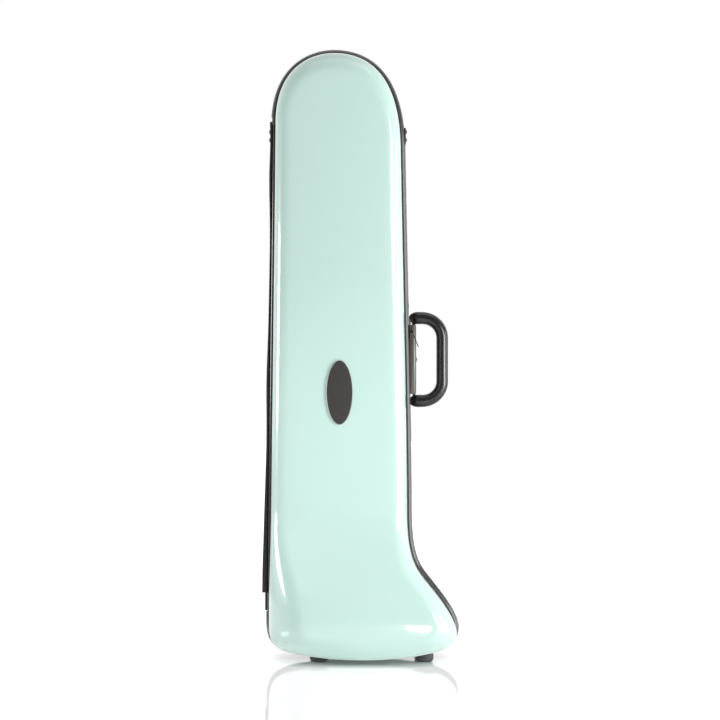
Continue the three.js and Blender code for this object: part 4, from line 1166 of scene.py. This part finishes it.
# %% Feet and their screws
FOOT_SIZE = {"radius": 14.0, "recess": 5.0, "deep": 4.0, "front": -45.0, "back": 46.0, "points": 40}
FOOT_STEPS = ((0.985, 4.6), (0.965, 3.4), (0.92, 2.3), (0.85, 1.3), (0.76, 0.55), (0.68, 0.12), (0.62, 0.0))
FOOT_ACROSS = (("left", -0.29), ("right", 1.33))
SCREW_Z = 1.3
SCREW_HEAD = (
    (0, 2.4), (4.2, 2.4), (4.6, 2.1), (4.6, 1.1), (4.2, 0.4), (3.2, 0), (1.6, 0), (1.3, 0.9), (0, 1.1),
)
low_rim = RIM_XZ[np.r_[COUNT - 60:COUNT, 0:45]]  # the flat bottom, from the heel to the bell's corner


def underside(x):
    """Height of the shells' underside."""
    return np.interp(x, low_rim[:, 0], low_rim[:, 1])


def foot_rings(x, y):
    """Rings from the shell's underside, down to the floor and up into the hollow."""
    turn = np.linspace(0, 2 * math.pi, FOOT_SIZE["points"], endpoint=False)
    ca, sa = np.cos(turn), np.sin(turn)

    def circle(radius, z):
        return np.column_stack([x + ca * radius, y + sa * radius, z])

    radius = FOOT_SIZE["radius"]
    top = underside(x + ca * radius) - FIT
    rings = [circle(radius - 0.6, underside(x + ca * (radius - 0.6)) - FIT), circle(radius, top - 0.5)]
    for share, z in FOOT_STEPS:
        rings.append(circle(radius * share, np.minimum(z, top - 0.6)))
    hollow = FOOT_SIZE["recess"]
    for r, z in ((hollow + 0.5, 0.0), (hollow, 0.5), (hollow, FOOT_SIZE["deep"])):
        rings.append(circle(r, np.full(FOOT_SIZE["points"], z)))
    return rings


for half in ("front", "back"):
    for side, share in FOOT_ACROSS:
        name, x, y = f"{half}_{side}_foot", share * HALF_WIDTH, FOOT_SIZE[half]
        foot = grown_body(f"{name}_bowl", foot_rings(x, y))
        dress(rounded(foot, 60), f"{half}_half", "foot_rubber", FOOT, name)
        screw = spun_body(f"{name}_screw_head", SCREW_HEAD, (x, y, SCREW_Z), Z)
        dress(screw, NODES[f"{name}_screw"]["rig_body"], "dark_steel", STEEL, f"{name}_screw")

# %% [markdown]
# ## Strap rings
# Four D-rings of round wire take a pair of shoulder straps. Each turns in a keeper: a riveted plate whose edge
# is rolled round the ring's straight side. The wire is swept along the D after its corners are rounded.

# %% The line of the D
WIRE = {"thick": 1.65, "height": 23.5, "straight": 9.0, "bow": 12.0, "points": 84, "sides": 16}
KEEPER = {
    "thick": 1.7, "near": -3.5, "far": 11.5, "long": 18.6, "knuckle": 3.1, "hole": 2.1, "out": 6.2,
    "roll": 2.6, "roll_in": 3.0, "rivet": 7.5, "corner": 3.0,
}
UPPER_RING, LOWER_RING = height(0.86433), height(0.36874)
UPPER_Y, LOWER_APART = 16.5, 50


def d_line():
    """The middle of the D's wire in its own plane: (bow, along), evenly spaced and softened."""
    half, straight, bow = WIRE["height"] / 2, WIRE["straight"], WIRE["bow"] * 1.33
    t = np.linspace(0, 1, 60)[:, None]
    k = np.array([(straight, half), (straight + bow, half), (straight + bow, -half), (straight, -half)])
    curve = (1 - t) ** 3 * k[0] + 3 * (1 - t) ** 2 * t * k[1] + 3 * (1 - t) * t ** 2 * k[2] + t ** 3 * k[3]
    fine = np.vstack([[(0, -half), (0, half)], curve, [(0, -half)]])
    run = np.concatenate([[0], np.cumsum(np.linalg.norm(np.diff(fine, axis=0), axis=1))])
    at = np.linspace(0, run[-1], WIRE["points"], endpoint=False)
    return soften(np.column_stack([np.interp(at, run, fine[:, k]) for k in (0, 1)]), 3)


# %% Rings, keepers and their rivets
def keeper_sheet(middle, bow, out, along):
    """Rings of the keeper's plate, through its thickness."""
    reach, half = (KEEPER["far"] - KEEPER["near"]) / 2, KEEPER["long"] / 2
    rings = []
    for high, inset in ((-0.5, 0.5), (-0.35, 0.12), (-0.1, 0), (0.1, 0), (0.35, 0.12), (0.5, 0.5)):
        section = rounded_box_ring(reach - inset, half - inset, KEEPER["corner"])
        rings.append(placed([(a, high * KEEPER["thick"], b) for a, b in section], middle, bow, out, along))
    return rings


def ring_set(name, origin, out, bow):
    """A keeper with its rivet, and the ring that turns in it."""
    along = np.cross(out, bow)
    centre = np.asarray(origin) + out * (KEEPER["out"] + FIT)
    line = np.array([centre + bow * b + along * a for b, a in d_line()])
    wire = [WIRE["thick"]] * len(line)
    ring = looped_body(f"{name}_wire", sweep_rings(line, out, wire, wire, WIRE["sides"], closed=True))
    dress(ring, NODES[f"{name}_ring"]["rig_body"], "dark_steel", STEEL, f"{name}_ring")
    middle = centre + out * (KEEPER["thick"] / 2 - KEEPER["out"]) + bow * (KEEPER["near"] + KEEPER["far"]) / 2
    tube = tube_profile(KEEPER["knuckle"], KEEPER["hole"], KEEPER["roll"])
    to_roll = along * (KEEPER["long"] / 2 - KEEPER["roll_in"])
    rolls = [spun_body("roll", tube, centre + to_roll * s, along) for s in (-1, 1)]
    sheet = grown_body("sheet", keeper_sheet(middle, bow, out, along))
    keeper = joined(f"{name}_keeper_plate", sheet, *rolls)
    dress(keeper, NODES[f"{name}_ring_keeper"]["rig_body"], "dark_steel", STEEL, f"{name}_ring_keeper")
    foot = centre + out * (KEEPER["thick"] - KEEPER["out"]) + bow * KEEPER["rivet"]
    rivet = spun_body(f"{name}_rivet_head", rivet_profile(2.2, 1.0), foot, out)
    dress(rivet, NODES[f"{name}_ring_rivet"]["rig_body"], "dark_steel", STEEL, f"{name}_ring_rivet")


for side, out in (("upper_right", X), ("upper_left", -X)):
    low, high = (np.array(corner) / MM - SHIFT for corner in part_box(f"{side}_ring"))
    foot = (low[0] + high[0]) / 2 - out[0] * (KEEPER["out"] + FIT)
    ring_set(side, (foot, UPPER_Y, UPPER_RING), out, Y)
back_face = float(depth_at(BACK_DEPTH, LOWER_RING - KEEPER["far"]))
for side, x in (("lower_right", LOWER_APART), ("lower_left", -LOWER_APART)):
    ring_set(side, (SPINE_BODY + x, back_face, LOWER_RING), Y, -Z)

# %% [markdown]
# ## Inside the case
# Foam blocks covered in plush hold the bell, the tuning slide and the slide, straps close over them, and a
# box with a lid stands beside the hinge. The foam is cut to the instrument, so its seats matter more than its
# edges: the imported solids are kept, and their edges get soft and wide. A strap is webbing grown along a path.

# %% Foam blocks and the accessory box
for name, width in (
    ("bell_cradle", 3.5), ("tuning_slide_cradle", 3.0), ("lower_slide_saddle", 2.6), ("upper_slide_saddle", 2.6),
):
    foam = reworked(name, f"{name}_foam", width, segments=4)
    dress(foam, NODES[name]["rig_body"], "plush", PLUSH, name)
BOX_EDGE = 0.9
for name in ("accessory_box", "accessory_lid"):
    dress(reworked(name, f"{name}_covered", BOX_EDGE), NODES[name]["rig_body"], "plush", PLUSH, name)

# %% Straps
CRADLE_Z, CRADLE_HIGH = height(0.22253), 36.0
SEAT_X, SEAT_RADIUS, CRADLE_NEAR = 18.0, 42.0, 6.0
STRAP = {"thick": 1.6, "half": 12.5, "landing": 22.0}


def strap_body(name, path, z):
    """Webbing along a path of (x, y), a little thinner at its edges."""
    path = np.array([(x, y, z) for x, y in path])
    rings = []
    for centre, way in zip(path, plane_frame(path, False)):
        out = np.cross(way, Z)
        half = [(-STRAP["half"], 0.5), (-STRAP["half"] + 0.7, 0.95), (-8.0, 1.0), (8.0, 1.0),
                (STRAP["half"] - 0.7, 0.95), (STRAP["half"], 0.5)]
        section = half + [(a, -b) for a, b in reversed(half)]
        rings.append([centre + Z * a + out * (b * STRAP["thick"] / 2) for a, b in section])
    return grown_body(name, rings)


def bell_path():
    """Over the bell's throat, with its ends on the cradle's shoulders."""
    radius = SEAT_RADIUS + STRAP["thick"] / 2
    y = CRADLE_NEAR - FIT - STRAP["thick"] / 2
    turn = np.linspace(0, math.pi, 29)
    arch = [(SEAT_X - math.cos(t) * radius, y - math.sin(t) * radius) for t in turn]
    left, right = SEAT_X - radius - STRAP["landing"], SEAT_X + radius + STRAP["landing"]
    return ([(x, y) for x in np.linspace(left, arch[0][0] - 2, 5)] + arch[1:-1]
            + [(x, y) for x in np.linspace(arch[-1][0] + 2, right, 5)])


strap = strap_body("bell_webbing", bell_path(), CRADLE_Z + CRADLE_HIGH / 2)
dress(rounded(strap, 50), NODES["bell_strap"]["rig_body"], "webbing", WEBBING, "bell_strap")
for name in ("lower_slide_strap", "upper_slide_strap"):
    low, high = (np.array(corner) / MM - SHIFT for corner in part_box(name))
    y = (low[1] + high[1]) / 2
    path = [(x, y) for x in np.linspace(low[0], high[0], 13)]
    strap = strap_body(f"{name}_webbing", path, (low[2] + high[2]) / 2)
    dress(rounded(strap, 50), NODES[name]["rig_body"], "webbing", WEBBING, name)

# %% [markdown]
# ## The camera
# The photograph is a product shot. The camera is level, far away and has a long lens, so the sides of the
# case hardly converge. Its distance and lens were fitted to the outline of the case.

# %% Camera
CAMERA_AT = Vector((-1.17, -4493.0, 462.8)) * MM
lens = bpy.data.cameras.new("product_lens")
lens.lens, lens.sensor_width = 145.16, 36.0
lens.clip_end = 100.0
camera = bpy.data.objects.new("product_camera", lens)
camera.location = CAMERA_AT
camera.rotation_euler = (math.radians(90), 0, 0)
bpy.context.scene.collection.objects.link(camera)
bpy.context.scene.camera = camera
print("camera", round(-CAMERA_AT.y, 3), "m in front, lens", lens.lens, "mm")

# %% [markdown]
# ## The lights
# A glossy shell shows its lights as highlights, so each light is a softbox in the shape of the highlight that
# it draws: a narrow strip on the left, a broad bank on the right, a small one for the glint on the bell. Two
# fills only lift what is too dark. They are hidden from reflections, and the one for the bell is narrowed so
# that it leaves the rest alone.


# %% Lights
def softbox(name, place, target, size, power):
    """A rectangular light that faces a point."""
    data = bpy.data.lights.new(name, "AREA")
    data.shape, data.size, data.size_y = "RECTANGLE", *size
    data.energy = power
    light = bpy.data.objects.new(name, data)
    light.location = place
    aim = Vector(target) - Vector(place)
    light.rotation_euler = aim.to_track_quat("-Z", "Z").to_euler()
    bpy.context.scene.collection.objects.link(light)
    print(name, power, "W")
    return light


softbox("left_strip", (-2.2, 0.0, 0.62), (0, 0, 0.6), (0.45, 0.84), 13)
softbox("right_bank", (1.55, -1.25, 0.54), (0, 0, 0.5), (1.5, 0.78), 30)
softbox("bell_glint", (0.15, -1.0, 0.02), (0.03, 0, 0.05), (0.1, 0.06), 0.26)
softbox("bell_side", (1.25, -0.75, 0.22), (0.1, 0, 0.08), (0.9, 0.45), 5)
left_fill = softbox("left_fill", (-1.5, -1.0, 0.5), (0, 0, 0.5), (0.5, 0.8), 2.3)
bell_fill = softbox("bell_fill", (-0.25, -0.7, 0.7), (-0.05, 0, 0.1), (0.25, 0.15), 0.17)
softbox("side_bank", (2.1, -0.1, 0.54), (0, 0, 0.5), (1.1, 0.72), 9)
softbox("top_bank", (0.1, -0.3, 2.3), (0, 0, 0.9), (1.8, 1.0), 4)
left_fill.visible_glossy = bell_fill.visible_glossy = False
bell_fill.data.spread = math.radians(60)

# %% [markdown]
# ## The white world
# The camera sees the world at a strength of 1, which is white. More light on the case would bleach it, so
# other rays see a dimmer world. Mirrored rays see it bright behind the case and dim on the camera's side,
# which keeps the rubber and the grip black.

# %% World
WORLD_LIGHT = 0.42
MIRRORED = {"From_Min": -0.5, "From_Max": 0.3, "To_Min": 0.3, "To_Max": 1.0}
world = bpy.data.worlds.new("white_studio")
bpy.context.scene.world = world
world.use_nodes = True
tree = world.node_tree
sky = tree.nodes["Background"]
sky.inputs["Color"].default_value = (1, 1, 1, 1)
rays = node(tree, "ShaderNodeLightPath")
ways = node(tree, "ShaderNodeTexCoord")
axes = node(tree, "ShaderNodeSeparateXYZ")
room = node(tree, "ShaderNodeMapRange", **MIRRORED)
mirrored = node(tree, "ShaderNodeMix", data_type="FLOAT", A=WORLD_LIGHT)
seen = node(tree, "ShaderNodeMath", operation="MAXIMUM")
level = node(tree, "ShaderNodeMix", data_type="FLOAT", B=1.0)
wire_up(
    tree,
    (ways.outputs["Generated"], axes.inputs["Vector"]), (axes.outputs["Y"], room.inputs["Value"]),
    (rays.outputs["Is Glossy Ray"], mirrored.inputs["Factor"]), (room.outputs["Result"], mirrored.inputs["B"]),
    (rays.outputs["Is Camera Ray"], seen.inputs[0]), (rays.outputs["Is Transmission Ray"], seen.inputs[1]),
    (seen.outputs[0], level.inputs["Factor"]), (mirrored.outputs["Result"], level.inputs["A"]),
    (level.outputs["Result"], sky.inputs["Strength"]),
)
print("world light", WORLD_LIGHT)

# %% [markdown]
# ## The floor
# The floor is pale and polished, so the case stands on its own faint reflection. To the camera it glows a
# little, less where ambient occlusion finds the case close by: this paints a contact shadow under the case,
# added to the shadow that the lamps cast. Further out the polish fades and the glow rises to 1, so that the
# floor runs into the white world without an edge.

# %% Floor
GLOW, GLOW_SEEN, SHADOW_REACH = 0.26, 0.32, 0.03
POLISH, POLISHED_TO, WHITE_FROM = 0.5, 0.9, 1.7
floor_material = bpy.data.materials.new("white_floor")
floor_material.use_nodes = True
tree = floor_material.node_tree
principled = tree.nodes["Principled BSDF"]
principled.inputs["Base Color"].default_value = (0.9, 0.9, 0.9, 1)
principled.inputs["Roughness"].default_value = 0.06
principled.inputs["Emission Color"].default_value = (1, 1, 1, 1)
# Ambient occlusion paints the contact shadow: it dims the floor's glow to the camera where the case is close.
near = node(tree, "ShaderNodeAmbientOcclusion", Distance=SHADOW_REACH, samples=8)
glow_with_painted_shadow = node(tree, "ShaderNodeMath", operation="MULTIPLY")
glow_with_painted_shadow.inputs[1].default_value = GLOW_SEEN
rays = node(tree, "ShaderNodeLightPath")
glow = node(tree, "ShaderNodeMix", data_type="FLOAT", A=GLOW)
spot = node(tree, "ShaderNodeNewGeometry")
away = node(tree, "ShaderNodeVectorMath", operation="LENGTH")
radii = {"From_Min": POLISHED_TO, "From_Max": WHITE_FROM}
far = node(tree, "ShaderNodeMapRange", **radii, To_Min=0.0, To_Max=1.0)
polish = node(tree, "ShaderNodeMapRange", **radii, To_Min=POLISH, To_Max=0.0)
white = node(tree, "ShaderNodeMix", data_type="FLOAT", B=1.0)
wire_up(
    tree,
    (spot.outputs["Position"], away.inputs[0]),
    (away.outputs["Value"], far.inputs["Value"]), (away.outputs["Value"], polish.inputs["Value"]),
    (polish.outputs["Result"], principled.inputs["Specular IOR Level"]),
    (far.outputs["Result"], white.inputs["Factor"]),
    (near.outputs["AO"], glow_with_painted_shadow.inputs[0]), (glow_with_painted_shadow.outputs[0], white.inputs["A"]),
    (rays.outputs["Is Camera Ray"], glow.inputs["Factor"]), (white.outputs["Result"], glow.inputs["B"]),
    (glow.outputs["Result"], principled.inputs["Emission Strength"]),
)
bm = bmesh.new()
bmesh.ops.create_grid(bm, x_segments=1, y_segments=1, size=12)
floor = finish_mesh(bm, "studio_floor", smooth=False)
floor.data.materials.append(floor_material)
bpy.context.scene.view_settings.view_transform = "Standard"
